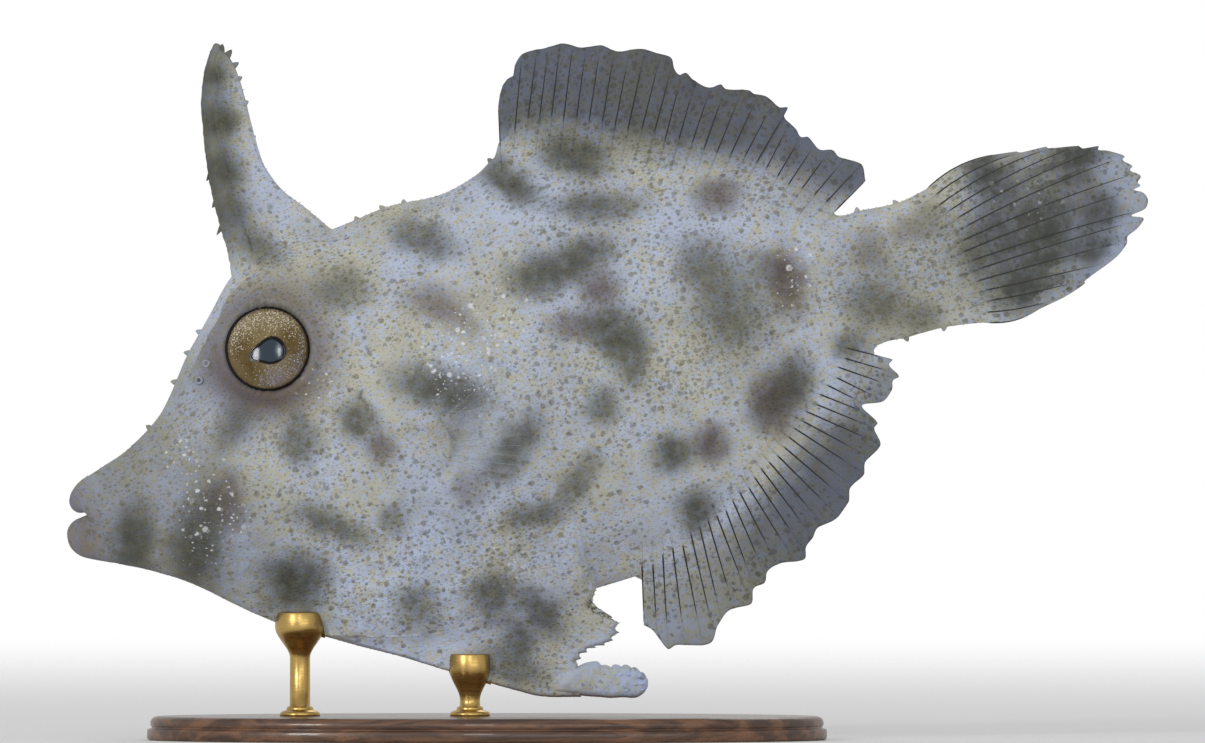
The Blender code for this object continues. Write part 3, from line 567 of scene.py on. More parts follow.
MEMBRANE = dict(bumps=0.2, rough=(0.46, 0.6), sheen=0.04)
skin_finish = flesh("velvet skin")
horn_finish = flesh("horn of the first spine", bumps=0.5, grain_size=0.3, sheen=0.05)
fin_finish = flesh("slate membrane", speckle=0.5, fleck=paint(54, 53, 43), **MEMBRANE)
tail_finish = flesh("tail membrane", fleck=paint(54, 55, 46), olive=paint(48, 50, 42), **MEMBRANE)
rim_finish = flesh("wet rim", speckle=0.0, bumps=0.1, rough=(0.3, 0.4), sheen=0.0, blotch=0.0, gloss=0.12)
pelvis_finish = flesh("skin of the pelvis", speckle=0.2, bumps=0.45, grain_size=0.3, blotch=0.3)

# %% [markdown]
# ## Meshes from arrays
# All the fine surfaces are grids of points, so one helper turns points and faces into an object in
# the frame, with smooth shading. A second joins rows of points into quads.

# %% Mesh helpers


def put_in_scene(name, data):
    """An object for a mesh, a lamp or a lens."""
    made = bpy.data.objects.new(name, data)
    bpy.context.scene.collection.objects.link(made)
    return made


def add_mesh(name, points, faces, finish=None, edges=()):
    """An object from points (u, y, v) in millimetres. Its place is in its mesh."""
    mesh = bpy.data.meshes.new(name)
    mesh.from_pydata(to_row(points).tolist(), list(edges), faces)
    mesh.shade_smooth()
    if finish:
        mesh.materials.append(finish)
    return put_in_scene(name, mesh)


def quads(rows, columns, start=0, wrap=False, flip=False):
    """The quads of a grid whose points are stored row by row, as an array of corners."""
    r, c = np.meshgrid(np.arange(rows - 1), np.arange(columns if wrap else columns - 1), indexing="ij")
    after = (c + 1) % columns
    corners = [r * columns + c, (r + 1) * columns + c, (r + 1) * columns + after, r * columns + after]
    faces = np.stack([k.ravel() for k in corners], -1) + start
    return faces[:, ::-1] if flip else faces


def points_of(made):
    """The (u, y, v) of each point of an object."""
    return to_fish(read(made.data))


def move_points(made, points):
    """Gives an object's points new places (u, y, v)."""
    made.data.vertices.foreach_set("co", to_row(points).astype(np.float32).ravel())
    made.data.update()


def normals_of(made):
    """The outward direction at each point, in the fish's own axes."""
    x, y, z = read(made.data, "normal").T
    return np.stack([x * COS + z * SIN, y, z * COS - x * SIN], -1)


print("a grid of 3 by 4 points has", len(quads(3, 4)), "quads")

# %% [markdown]
# ## The skin as one closed surface
# Head, lips, trunk, belly flap, the horn's web and the tail stalk are one skin on the real fish, with
# no seam anywhere. So they are one grid here too. Each ring runs from the back down the right flank
# to the belly and up again. Where the web stands up from the nape, or the flap hangs from the
# belly, the ring goes up or down that thin crest and back on its other side. Where it doesn't, those
# points fall together and are merged. This gives soft folds at the crests with no Boolean.

# %% Crests above and below the rings
SIDE_STEPS, WEB_STEPS, FLAP_STEPS = 112, 44, 26
SPINE_LINE = [(24.6, 17.6), (24.45, 22.6), (24.5, 26.2), (24.8, 29.3), (25.25, 32.2), (25.85, 35.2),
              (26.6, 37.6), (27.5, 39.7), (28.2, 41.0)]
SPINE_RADIUS = [(0, 1.45), (0.5, 1.2), (0.85, 0.9), (1, 0.35)]
WEB_EDGE = [(34.2, 19.0), (33.3, 20.5), (31.7, 22.9), (30.1, 25.2), (29.1, 28.1), (28.9, 30.8),
            (29.2, 33.8), (29.3, 36.3), (29.2, 38.4), (28.8, 39.8)]
FLAP_LOBE = [(44.1, -31.4), (44.5, -30.0), (44.9, -28.8), (46.4, -28.0), (48.3, -27.9), (49.6, -27.0),
             (49.7, -25.9), (48.6, -24.9), (47.8, -23.9), (47.9, -23.1)]
KEEL_FRONT, KEEL_END, LOBE_TEETH = 20.0, 44.0, 13
SKIRT_HIGH, SKIRT_HALF, SKIRT_FLARE, SKIRT_FADE = 1.15, 0.02, 0.53, 0.75
EDGE_ROUND = 0.35


def station_at(line, u):
    """The place on the axis of the ring that ends at u on the back or the throat."""
    a = u
    for _ in range(20):
        a = u - line_at(LEAN, a) * line_at(line, u)
    return float(a)


def beside(line, u, off):
    """The points at a distance off a line, above it where off is positive."""
    u = np.asarray(u, float)
    slope = line_at(line, u + 0.5) - line_at(line, u - 0.5)
    across = np.stack([-slope, np.ones_like(u)], -1)
    across /= np.linalg.norm(across, axis=-1)[:, None]
    return np.stack([u, line_at(line, u)], -1) + across * np.asarray(off)[..., None]


def skirt_ends(line, foot, up, first, last):
    """The edge of the low fold of skin that wraps the base of a fin."""
    high = SKIRT_HIGH * smooth(first, first + 1.6, foot[:, 0]) * (1 - smooth(last - 1.6, last, foot[:, 0]))
    return np.where((high > 0)[:, None], beside(line, foot[:, 0], up * high), foot)

# %% Where the web and the flap end
WEB_HIND, WEB_FRONT, SPINE_FOOT = (station_at(BACK, u) for u in (34.2, 26.4, 24.7))
FLAP_FRONT, FLAP_CORNER, FLAP_HIND = (station_at(THROAT, u) for u in (20.0, 40.8, 48.4))


def web_ends(a, foot):
    """Where the web's threads end: up its hind edge, then down inside the spine, or along a fin's skirt."""
    share = np.clip((WEB_HIND - a) / (WEB_HIND - WEB_FRONT), 0, 1)
    hind = path_at(WEB_EDGE, share)
    down = [WEB_EDGE[-1], (28.2, 40.5)] + SPINE_LINE[-2::-1]
    front = path_at(down, np.clip((WEB_FRONT - a) / (WEB_FRONT - SPINE_FOOT), 0, 1) ** 2)
    ends = np.where((a > WEB_FRONT)[:, None], hind, front)
    inside = (a > SPINE_FOOT) & (a < WEB_HIND)
    return np.where(inside[:, None], ends, skirt_ends(BACK, foot, 1, 51.3, 82.4))


def flap_ends(a, foot):
    """Where the belly flap's threads end: along the keel, then up the toothed hind lobe."""
    keel_u = KEEL_FRONT + (a - FLAP_FRONT) * (KEEL_END - KEEL_FRONT) / (FLAP_CORNER - FLAP_FRONT)
    share = np.clip((a - FLAP_CORNER) / (FLAP_HIND - FLAP_CORNER), 0, 1)
    lobe = path_at(FLAP_LOBE, share)
    inwards = np.array((43, -25.5)) - lobe
    inwards /= np.linalg.norm(inwards, axis=-1)[:, None]
    teeth = np.abs(np.sin(share * np.pi * LOBE_TEETH)) ** 0.7
    lobe += inwards * (0.58 * smooth(0.02, 0.12, share) * teeth)[:, None]
    ends = np.where((a < FLAP_CORNER)[:, None], np.stack([keel_u, line_at(KEEL, keel_u)], -1), lobe)
    inside = (a > FLAP_FRONT) & (a < FLAP_HIND)
    return np.where(inside[:, None], ends, skirt_ends(THROAT, foot, -1, 52.4, 82.4))

# %% The form of a crest
# the share of the skirt's and of other crests' heights over which they reach their full thickness
SKIRT_FULL, CREST_FULL = 0.9, 2.5


def off_line(points, line):
    """How far points (u, v) are from a bent line of points."""
    nearest = np.full(points.shape[:-1], 99.0)
    for start, step in zip(line, np.diff(line, axis=0)):
        t = np.clip((points - start) @ step / max(step @ step, 1e-9), 0, 1)
        nearest = np.minimum(nearest, np.linalg.norm(points - start - t[..., None] * step, axis=-1))
    return nearest


def crest(foot, end, steps, half, flare, fade, swell):
    """The right face of a thin crest, and the half thickness that it asks of the body at any distance."""
    skirt = (foot[:, :1] > 51) + np.zeros((1, steps))
    flare, fade, full = (np.where(skirt[:, :1], low, high) for low, high in
                         ((SKIRT_FLARE, flare), (SKIRT_FADE, fade), (SKIRT_FULL, CREST_FULL)))
    share = np.linspace(1, 0, steps + 1)[:-1]
    end = np.where(np.linalg.norm(end - foot, axis=-1)[:, None] > 0.06, end, foot)
    length = np.linalg.norm(end - foot, axis=-1)
    place = foot[:, None] + (end - foot)[:, None] * share[None, :, None]
    rise = smooth(0, 1, length[:, None] / full)
    thin = np.where(skirt, SKIRT_HALF, half(share)[None])
    thick = np.hypot(thin + flare * np.exp(-share[None] * length[:, None] / fade), swell(place, foot))
    close = np.clip(off_line(place, end[length > 0]) / EDGE_ROUND, 0, 1)
    y = rise * thick * np.sqrt(1 - (1 - close) ** 2)
    face = np.stack([place[..., 0], y, place[..., 1]], -1)

    def asked(off):
        """Half the thickness at a distance from the crest's foot."""
        return rise * (thin[:, -1:] + flare * (2 - np.exp(-off / fade))) * (1 - smooth(4, 12, off))

    return face, asked


def spine_swell(place, foot):
    """How much the web thickens where it meets the first spine, so that both flow into one form."""
    share = np.linspace(0, 1, 60)
    line, radius = path_at(SPINE_LINE, share), line_at(SPINE_RADIUS, share)
    gaps = np.linalg.norm(place[..., None, :] - line, axis=-1)
    near_radius = radius[gaps.argmin(-1)]
    risen = smooth(0, 6, place[..., 1] - foot[:, None, 1])
    return 0.86 * near_radius * np.exp(-(gaps.min(-1) / (1.7 * near_radius)) ** 2) * risen


def half_rings(a):
    """The right half of each ring, from the web's edge, down the flank, to the flap's edge."""
    angle = np.linspace(0, np.pi, SIDE_STEPS + 1)
    body = trunk(a[:, None] + 0 * angle, np.broadcast_to((1 + np.cos(angle)) / 2, (len(a), len(angle))))
    top, bottom = body[:, 0][:, [0, 2]], body[:, -1][:, [0, 2]]
    web, web_pull = crest(top, web_ends(a, top), WEB_STEPS, lambda share: 0.42 - 0.2 * share,
                          0.9, 1.2, spine_swell)
    flap, flap_pull = crest(bottom, flap_ends(a, bottom), FLAP_STEPS, lambda share: np.full_like(share, 0.36),
                            1.35, 2.2, lambda place, foot: 0)
    for foot, pull in ((top, web_pull), (bottom, flap_pull)):
        asked = pull(np.linalg.norm(body[..., [0, 2]] - foot[:, None], axis=-1))
        body[..., 1] = (body[..., 1] ** 4 + asked**4) ** 0.25
    return np.concatenate([web, body, flap[:, ::-1]], axis=1)


def spans(*stretches):
    """Places along the axis, stretch by stretch, each with its own step."""
    places = [np.arange(first, last - step / 2, step) for first, last, step in stretches]
    return np.concatenate(places + [[stretches[-1][1]]])


stations = spans((3.6, 8, 0.3), (8, 19, 0.34), (19, 22.4, 0.2), (22.4, 24.4, 0.08), (24.4, 31, 0.18),
                 (31, 43.6, 0.36), (43.6, 50.6, 0.12), (50.6, 82, 0.6), (82, 93, 0.42), (93, 96.4, 0.26))
trunk_rings = half_rings(stations)
print(len(stations), "rings of", trunk_rings.shape[1] * 2 - 2, "points")

# %% [markdown]
# ## Lips that roll into the mouth
# A filefish has a tiny mouth with soft lips. The grid goes on in front of the head: each ring there
# is set by three curves, over the upper lip, under the lower lip and round the corner of the mouth.
# All of them turn inwards and end in a flat slit, so the mouth is a real opening.

# %% Lips
UPPER_LIP = [(3.6, 3.58), (2.6, 3.3), (1.6, 2.75), (0.95, 2.1), (0.64, 1.4), (0.72, 0.75), (1.15, 0.2),
             (1.9, 0.0), (3.4, -0.05)]
LOWER_LIP = [(3.6, -5.9), (2.6, -5.4), (1.1, -4.65), (0.1, -3.95), (-0.5, -3.0), (-0.6, -2.0), (-0.3, -1.1),
             (0.45, -0.5), (1.9, -0.3), (3.4, -0.3)]
MOUTH_CORNER = [(3.6, 2.37), (2.9, 2.2), (2.3, 1.95), (2.0, 1.6), (2.2, 1.3), (2.9, 1.1), (3.6, 1.0)]
LIP_RINGS = 30


def lip_rings():
    """The right half of each ring of the lips, from inside the mouth to the front of the head."""
    share = np.linspace(1, 0, LIP_RINGS + 1)[:-1]
    angle = np.linspace(0, np.pi, SIDE_STEPS + 1)
    top, bottom = ring_ends(np.array([3.6]))
    upper = path_at([tuple(top[0])] + UPPER_LIP[1:], share)
    lower = path_at([tuple(bottom[0])] + LOWER_LIP[1:], share)
    corner = path_at([(3.6, float(line_at(HALF_WIDTH, 3.6)))] + MOUTH_CORNER[1:], share)
    height = (1 + np.cos(angle)) / 2
    pull = np.abs(np.cos(angle)) ** 1.3
    ahead = np.where(angle < np.pi / 2, upper[:, :1], lower[:, :1])
    u = corner[:, :1] + (ahead - corner[:, :1]) * pull
    v = lower[:, 1:] + (upper[:, 1:] - lower[:, 1:]) * height
    y = corner[:, 1:] * np.sqrt(np.maximum(1 - (2 * height**WARP - 1) ** 2, 0))
    body = np.stack([u, y, v], -1)
    inside, below = np.repeat(body[:, :1], WEB_STEPS, 1), np.repeat(body[:, -1:], FLAP_STEPS, 1)
    return np.concatenate([inside, body, below], 1)


half = np.concatenate([lip_rings(), trunk_rings])
lengths = np.linalg.norm(np.diff(half, axis=1), axis=-1)
girth = np.concatenate([np.zeros((len(half), 1)), np.cumsum(lengths, axis=1)], 1)
girth = girth[:, [WEB_STEPS + SIDE_STEPS // 2]] - girth
along = np.concatenate([np.linspace(-4, 3.4, LIP_RINGS), stations])
print("lips end at u =", half[:, :, 0].min().round(2))

# %% [markdown]
# ## Closing and merging the grid
# The left half is the right one mirrored. A fan of triangles closes the grid inside the mouth and in
# the tail. Then points that fell together are merged. A map named OFBake unrolls the skin along its
# own girth, right flank in the lower half and left flank in the upper, so that a painted
# picture could be laid on it without a smear over the back.

# %% Build the skin
# the map's zero and length along the fish, its zero round the girth, and its scale
MAP_START, MAP_LENGTH, MAP_GIRTH, MAP_SCALE = -5, 102, -38, 0.0056
ring = np.concatenate([half, half[:, -2:0:-1] * (1, -1, 1)], axis=1)
ring_girth = np.concatenate([girth, girth[:, -2:0:-1]], axis=1)
rows, columns = ring.shape[:2]
middles = np.stack([ring[0].mean(0), ring[-1].mean(0)])
skin_points = np.concatenate([ring.reshape(-1, 3), middles])
skin_faces = quads(rows, columns, wrap=True).tolist()
for end, hub, flip in ((0, rows * columns, False), (rows - 1, rows * columns + 1, True)):
    for i in range(columns):
        here, after = end * columns + i, end * columns + (i + 1) % columns
        skin_faces.append([hub, after, here] if flip else [hub, here, after])
skin = add_mesh("skin", skin_points, skin_faces, skin_finish)
store(skin.data, "girth", "FLOAT", np.concatenate([ring_girth.ravel(), [0, 0]]))
store(skin.data, "along", "FLOAT", np.concatenate([np.repeat(along, columns), [-4, 96]]))

work = bmesh.new()
work.from_mesh(skin.data)
bmesh.ops.remove_doubles(work, verts=work.verts, dist=1e-4 * MM)
bmesh.ops.recalc_face_normals(work, faces=work.faces)
up_the_side, along_it = work.verts.layers.float["girth"], work.verts.layers.float["along"]
unrolled = work.loops.layers.uv.new("OFBake")
for face in work.faces:
    flank_v = 0.005 if face.calc_center_median().y > 0 else 0.505
    for loop in face.loops:
        vertex = loop.vert
        across = flank_v + (vertex[up_the_side] - MAP_GIRTH) * MAP_SCALE
        loop[unrolled].uv = ((vertex[along_it] - MAP_START) / MAP_LENGTH, across)
volume = work.calc_volume(signed=True)
work.to_mesh(skin.data)
work.free()
print("skin:", len(skin.data.vertices), "points,", round(volume * 1e6, 1), "cubic centimetres")

# %% [markdown]
# ## Forms under the skin
# A cast that is only smooth looks like soap. The skin gets a socket for each eye with a soft rim, a low
# mound that carries the eye, a hollow in front of it, a full cheek, a short gill slit, the fleshy
# root of each side fin, and faint folds and pimples. Each form is a small formula of the distance
# to its place.

# %% Eye sockets, gill slits, fin roots and folds
EYE, EYE_RADIUS, EYE_DEPTH, EYE_Y = (24.2, 10.3), 4.35, 2.7, 5.0
GILL_SLIT = [(31.6, 3.3), (32.4, 0.4), (32.6, -2.4)]
SHOULDER = (37.2, -3.6)
FIN_SPREAD = math.radians(22)
RIM_REACH, SKIN_INSET = 4.75, 0.12
LID_REACH, LID_SLOPE = 4.25, 0.75
EYE_TIP_U, EYE_TIP_V = 0.10, -0.28
# u, v, half length, half height and rise of each low form: cheek, hollow, brow, gill cover, its hind edge
HILLS = [(19.5, -5, 6, 6, 0.35), (17.5, 6.0, 3.5, 3.0, -0.35), (27.5, 15.2, 5, 1.6, 0.3),
         (30.2, 0.5, 1.4, 4.5, 0.25), (34.6, 0.0, 1.6, 4.0, 0.22)]


def near(points, place, long, high):
    """A soft hill round a place of the side view, 1 at its middle."""
    return np.exp(-((points[:, 0] - place[0]) / long) ** 2 - ((points[:, 2] - place[1]) / high) ** 2)


def off_slit(points):
    """How far each point is from the gill slit."""
    line = path_at(GILL_SLIT, np.linspace(0, 1, 25))
    return np.linalg.norm(points[:, None, [0, 2]] - line[None], axis=-1).min(1)


def eye_face(off_u, off_v):
    """How far the eye's surface is from the middle plane, at an offset from the eye's middle."""
    reach = np.hypot(off_u, off_v) / (EYE_RADIUS + 0.02)
    return EYE_Y + EYE_DEPTH * np.sqrt(np.maximum(1 - reach**2, 0)) + EYE_TIP_U * off_u + EYE_TIP_V * off_v

# %% Low forms of the skin
points = points_of(skin)
eye_u, eye_v = points[:, 0] - EYE[0], points[:, 2] - EYE[1]
eye_reach = np.hypot(eye_u, eye_v)
slit_reach = off_slit(points)
on_flank = np.abs(points[:, 1]) > 2.5
lift = 0.28 * np.exp(-((eye_reach - RIM_REACH) / 0.5) ** 2)
for hill_u, hill_v, long, high, rise in HILLS:
    lift += rise * near(points, (hill_u, hill_v), long, high)
slit = np.exp(-(slit_reach / 0.24) ** 2)
lift += on_flank * (0.14 * np.exp(-((slit_reach - 0.5) / 0.3) ** 2) - 0.35 * slit)
# a groove behind the lips, then folds and pimples
lift -= 0.16 * np.exp(-((points[:, 0] - 3.5) / 0.5) ** 2)
lift += 0.055 * cloud(points, 2.6, 21) + 0.035 * cloud(points, 1.1, 22)
calm = smooth(0.5, 1.6, np.abs(points[:, 1]))
lift = lift * (0.3 + 0.7 * calm) - SKIN_INSET * calm
raised = points + normals_of(skin) * lift[:, None]
print("the low forms move the skin by", lift.min().round(2), "to", lift.max().round(2), "mm")

# %% Lids, sockets and fin roots
LID_BLEND, SOCKET_DEPTH, ROOT_BACK, ROOT_OUT = 14, 0.6, 1.35, 0.75
side = np.sign(points[:, 1])
out = LID_REACH / np.maximum(eye_reach, 0.1)
lid = np.clip(eye_face(eye_u * out, eye_v * out) - LID_SLOPE * (eye_reach - LID_REACH), 0.01, 8)
mound = side * (np.abs(raised[:, 1]) ** LID_BLEND + lid**LID_BLEND) ** (1 / LID_BLEND)
raised[:, 1] = np.where(on_flank, mound, raised[:, 1])
sunk = 1 - smooth(3.95, 4.42, eye_reach)
socket = eye_face(eye_u, eye_v) - SOCKET_DEPTH
raised[:, 1] += on_flank * sunk * (side * socket - raised[:, 1])
root_u, root_v = (points[:, 0] - SHOULDER[0]) / 1.15, (points[:, 2] - SHOULDER[1]) / 2.1
root = on_flank * np.exp(-(root_u**4 + root_v**4))
raised[:, 0] += ROOT_BACK * root
raised[:, 1] += side * ROOT_OUT * root
# the web waves a little from side to side
sway = 0.16 * smooth(21.5, 27, points[:, 2]) * np.sin(points[:, 2] * 0.7 + points[:, 0] * 0.5)
raised[:, 1] += sway * (points[:, 2] > line_at(BACK, points[:, 0]) + 1)
move_points(skin, raised)
print("half the thickness at the eye:", np.abs(raised[:, 1]).max().round(2), "mm")

# %% [markdown]
# ## Colour that follows the form
# The lips are mauve with a touch of ochre, a purple-brown halo surrounds the eye, and slate creeps
# down from the fins. Painted shade darkens the gill slit and the skin in each eye socket, and painted
# light lifts the lower belly, which faces away from the lamps. Each is a wash, stored with the pattern.

# %% Washes on the skin


def horn_shade(points):
    """How dark the horn is: most on its front half, fading towards the web's hind edge and the head."""
    u, y, v = points.T
    behind = u - line_at([(at_v, at_u) for at_u, at_v in SPINE_LINE], v)
    front = 0.72 * (1 - smooth(0.2, 3.8, behind)) + 0.16 * (1 - smooth(-1.0, 0.2, behind))
    return front * smooth(17.5, 24, v) * (u < 36)


# by fin: the lowest and highest height where slate comes in, how much higher it starts, and its depth,
# the last two by share of the fin's base
SLATES = {"back_fin": (-2.5, 2.5, [(0, 1.3), (0.12, 0.6), (0.32, 0), (0.62, 0.3), (0.82, 1), (1, 1.4)],
                       [(0, 0.88), (0.5, 0.92), (1, 0.86)]),
          "belly_fin": (-2.2, 2.4, [(0, 0.8), (0.5, 0), (0.8, 0.3), (1, 1)],
                        [(0, 0.38), (0.2, 0.52), (0.42, 0.84), (0.72, 0.88), (0.86, 0.66), (1, 0.5)]),
          "tail_fin": (-1.6, 6.0, [(0, 0), (1, 0)], [(0, 0.5), (1, 0.5)])}


def slate(fin, share, height):
    """How deep a fin's slate is, at a share of its base and a height over the body's edge."""
    low, high, rise, deepest = SLATES[fin]
    return line_at(deepest, share) * smooth(low, high, height - line_at(rise, share))

# %% Lay the washes on the skin
# the belly's colour is painted light, and the socket's colour is painted shade
PALE_SNOUT, PAINTED_BELLY_LIGHT, SOCKET_PAINTED_SHADE = paint(118, 116, 112), paint(210, 215, 224), paint(60, 52, 52)
BACK_FIN_START, BACK_FIN_LENGTH, BELLY_FIN_START, BELLY_FIN_LENGTH = 51.5, 30.1, 53.7, 27.3
points = points_of(skin)
u, y, v = points.T
eye_reach = np.hypot(u - EYE[0], v - EYE[1])
lip = 1 - smooth(1.6, 4.8, u + 0.25 * np.abs(v + 1))
halo_side = 0.7 + 0.3 * np.clip(-(v - EYE[1]) / 6 - (u - EYE[0]) / 9, 0, 1)
halo = (1 - smooth(4.6, 9.6, eye_reach)) * halo_side
below_back = slate("back_fin", (u - BACK_FIN_START) / BACK_FIN_LENGTH, v - line_at(BACK, u))
below_belly = slate("belly_fin", (u - BELLY_FIN_START) / BELLY_FIN_LENGTH, line_at(THROAT, u) - v)
washes = [
    (PALE_SNOUT, 0.7 * (1 - smooth(8, 25, u + 0.2 * v))),
    (MAUVE, 0.85 * lip),
    (OCHRE, 0.25 * np.exp(-((u - 1.6) / 1.2) ** 2 - ((v + 3.2) / 1.2) ** 2)),
    # painted light, which lifts the shade on the lower belly where it faces away from the lamps
    (PAINTED_BELLY_LIGHT, 0.58 * smooth(-7.5, -18, v) * (1 - smooth(31, 42, u)) * smooth(8, 16, u)),
    (HALO, 0.95 * halo * on_flank),
    # painted shade in each eye socket, round the eye's edge
    (SOCKET_PAINTED_SHADE, 0.9 * (1 - smooth(3.9, 4.5, eye_reach)) * on_flank),
    # painted shade inside the gill slit
    (PAINTED_SHADE_AND_RAY_DARK, 0.4 * np.exp(-(off_slit(points) / 0.16) ** 2) * on_flank),
    (HORN_GREY, horn_shade(points)),
    (DORSAL_SLATE, below_back * smooth(50.5, 52.0, u) * (1 - smooth(81.5, 83.5, u))),
    (ANAL_SLATE, below_belly * smooth(52, 54, u) * (1 - smooth(81, 84, u))),
]
add_marks(skin, washes)
bare = (eye_reach < 5.0) & on_flank | (u < 2.4)
store(skin.data, "coat", "FLOAT", np.where(bare, 0.0, 1.0) * (0.55 + 0.45 * smooth(4, 14, u)))
pieces = {"skin": skin}
bpy.context.view_layer.update()
skin_tree = BVHTree.FromObject(skin, bpy.context.evaluated_depsgraph_get())
print("washes:", len(washes), "and", int(bare.sum()), "bare points")

# %% [markdown]
# ## Eyes
# The eye is a glassy dome that tips a little forwards and up, as the head does. Its pupil isn't round:
# it has the outline of a bean with a peak, and a black edge. The mesh is a fan of rings. The inner
# rings take the pupil's outline and the outer ones are round, so the pupil's edge is crisp with no
# picture. The iris is golden, with brown clouds and a fine stipple of cream above and of blue-white
# below. Two soft highlights are painted into the pupil, one to each side.

# %% Outline and colours of the eye
PUPIL_EDGE = [(0.37, 1.18), (0.95, 1.05), (1.45, 0.66), (1.75, 0.25), (1.87, -0.22), (1.75, -0.75),
              (1.42, -1.11), (0.9, -1.36), (0.29, -1.47), (-0.2, -1.38), (-0.68, -1.27), (-1.1, -1.25),
              (-1.48, -1.23), (-1.72, -1.05), (-1.8, -0.79), (-1.65, -0.4), (-1.25, 0.05), (-0.7, 0.5),
              (-0.1, 0.95), (0.37, 1.18)]
PUPIL_HUB = (0.0, -0.4)
IRIS_EDGE, EYE_TURNS, IRIS_RINGS = 4.3, 160, 34
PUPIL_RINGS = (0.08, 0.2, 0.32, 0.44, 0.56, 0.66, 0.75, 0.82, 0.87, 0.91, 0.96)
GOLD, UMBER, LILAC = paint(122, 107, 72), paint(80, 61, 24), paint(112, 106, 116)
CREAM, FROST = paint(228, 222, 206), paint(186, 196, 226)
# the last of these is a painted highlight, laid into the pupil
PUPIL_GREY, PUPIL_RIM, PAINTED_PUPIL_HIGHLIGHT = paint(50, 60, 70), paint(2, 2, 2), paint(176, 184, 190)
# x and z from the eye's middle, reach, strength
UMBER_CLOUDS = [(-2.7, 0.2, 1.6, 0.75), (-1.6, -2.2, 1.6, 0.8), (2.2, 1.3, 1.3, 0.8), (2.9, -0.9, 1.5, 0.75),
                (-0.2, -3.4, 0.9, 0.3)]
LILAC_CLOUDS = [(1.0, -3.0, 1.1, 0.75), (3.2, -2.0, 0.8, 0.4)]
FROST_CLOUDS = [(1.0, -3.2, 1.6, 1), (3.6, -1.6, 1.2, 1), (3.7, 0.6, 0.8, 0.7)]


def pupil_reach(turn):
    """The distance from the pupil's hub to its outline in each direction."""
    edge = path_at(PUPIL_EDGE, np.linspace(0, 1, 300)[:-1]) - PUPIL_HUB
    return np.interp(turn, np.arctan2(edge[:, 1], edge[:, 0]), np.hypot(*edge.T), period=2 * np.pi)


def clouds_at(clouds, x, z):
    """The sum of soft round clouds at places on the eye."""
    return sum(most * np.exp(-(((x - at_x) ** 2 + (z - at_z) ** 2) / reach**2))
               for at_x, at_z, reach, most in clouds)


print("clouds in the iris:", len(UMBER_CLOUDS + LILAC_CLOUDS + FROST_CLOUDS))

# %% Finish of the iris
# the amount that the mesh stores, then tone, scale and strength
STIPPLE = (("cream", CREAM, 6.5, 0.85), ("cream", CREAM, 11.0, 0.8), ("frost", FROST, 7.5, 0.8))
MOST_STIPPLED = 0.85
iris_finish, tree, shader = new_finish("iris under a clear coat")
spot = stored(tree, "fleck_place", "Vector")
clouded = ramp(tree, noise(tree, spot, 1.6, 4.0, Roughness=0.65), 0.45, 0.75, -0.1, 0.35)
colour = over(tree, maths(tree, "ADD", stored(tree, "umber"), clouded), GOLD, UMBER)
for fleck, tone, scale, strength in STIPPLE:
    cells = node(tree, "ShaderNodeTexVoronoi", {"Vector": spot, "Scale": scale}).outputs
    lot = node(tree, "ShaderNodeSeparateColor", {0: cells["Color"]}).outputs[0]
    share = maths(tree, "MULTIPLY", stored(tree, fleck), MOST_STIPPLED)
    chosen = ramp(tree, maths(tree, "SUBTRACT", share, lot), 0.0, 0.1)
    dot = ramp(tree, cells["Distance"], 0.15, 0.5, strength, 0.0)
    colour = over(tree, maths(tree, "MULTIPLY", chosen, dot), colour, tone)
wash = node(tree, "ShaderNodeAttribute", attribute_name="wash").outputs
tree.links.new(over(tree, wash["Alpha"], colour, wash["Color"]), shader.inputs["Base Color"])
shader.inputs["Roughness"].default_value = 0.5
shader.inputs["Specular IOR Level"].default_value = 0.0
shader.inputs["Coat Weight"].default_value = 0.5
shader.inputs["Coat Roughness"].default_value = 0.07
print("stipples in the iris:", len(STIPPLE))

# %% Build the eyes
EYE_BACK, EDGE_GROOVE, CORE = 1.2, 0.03, 0.86


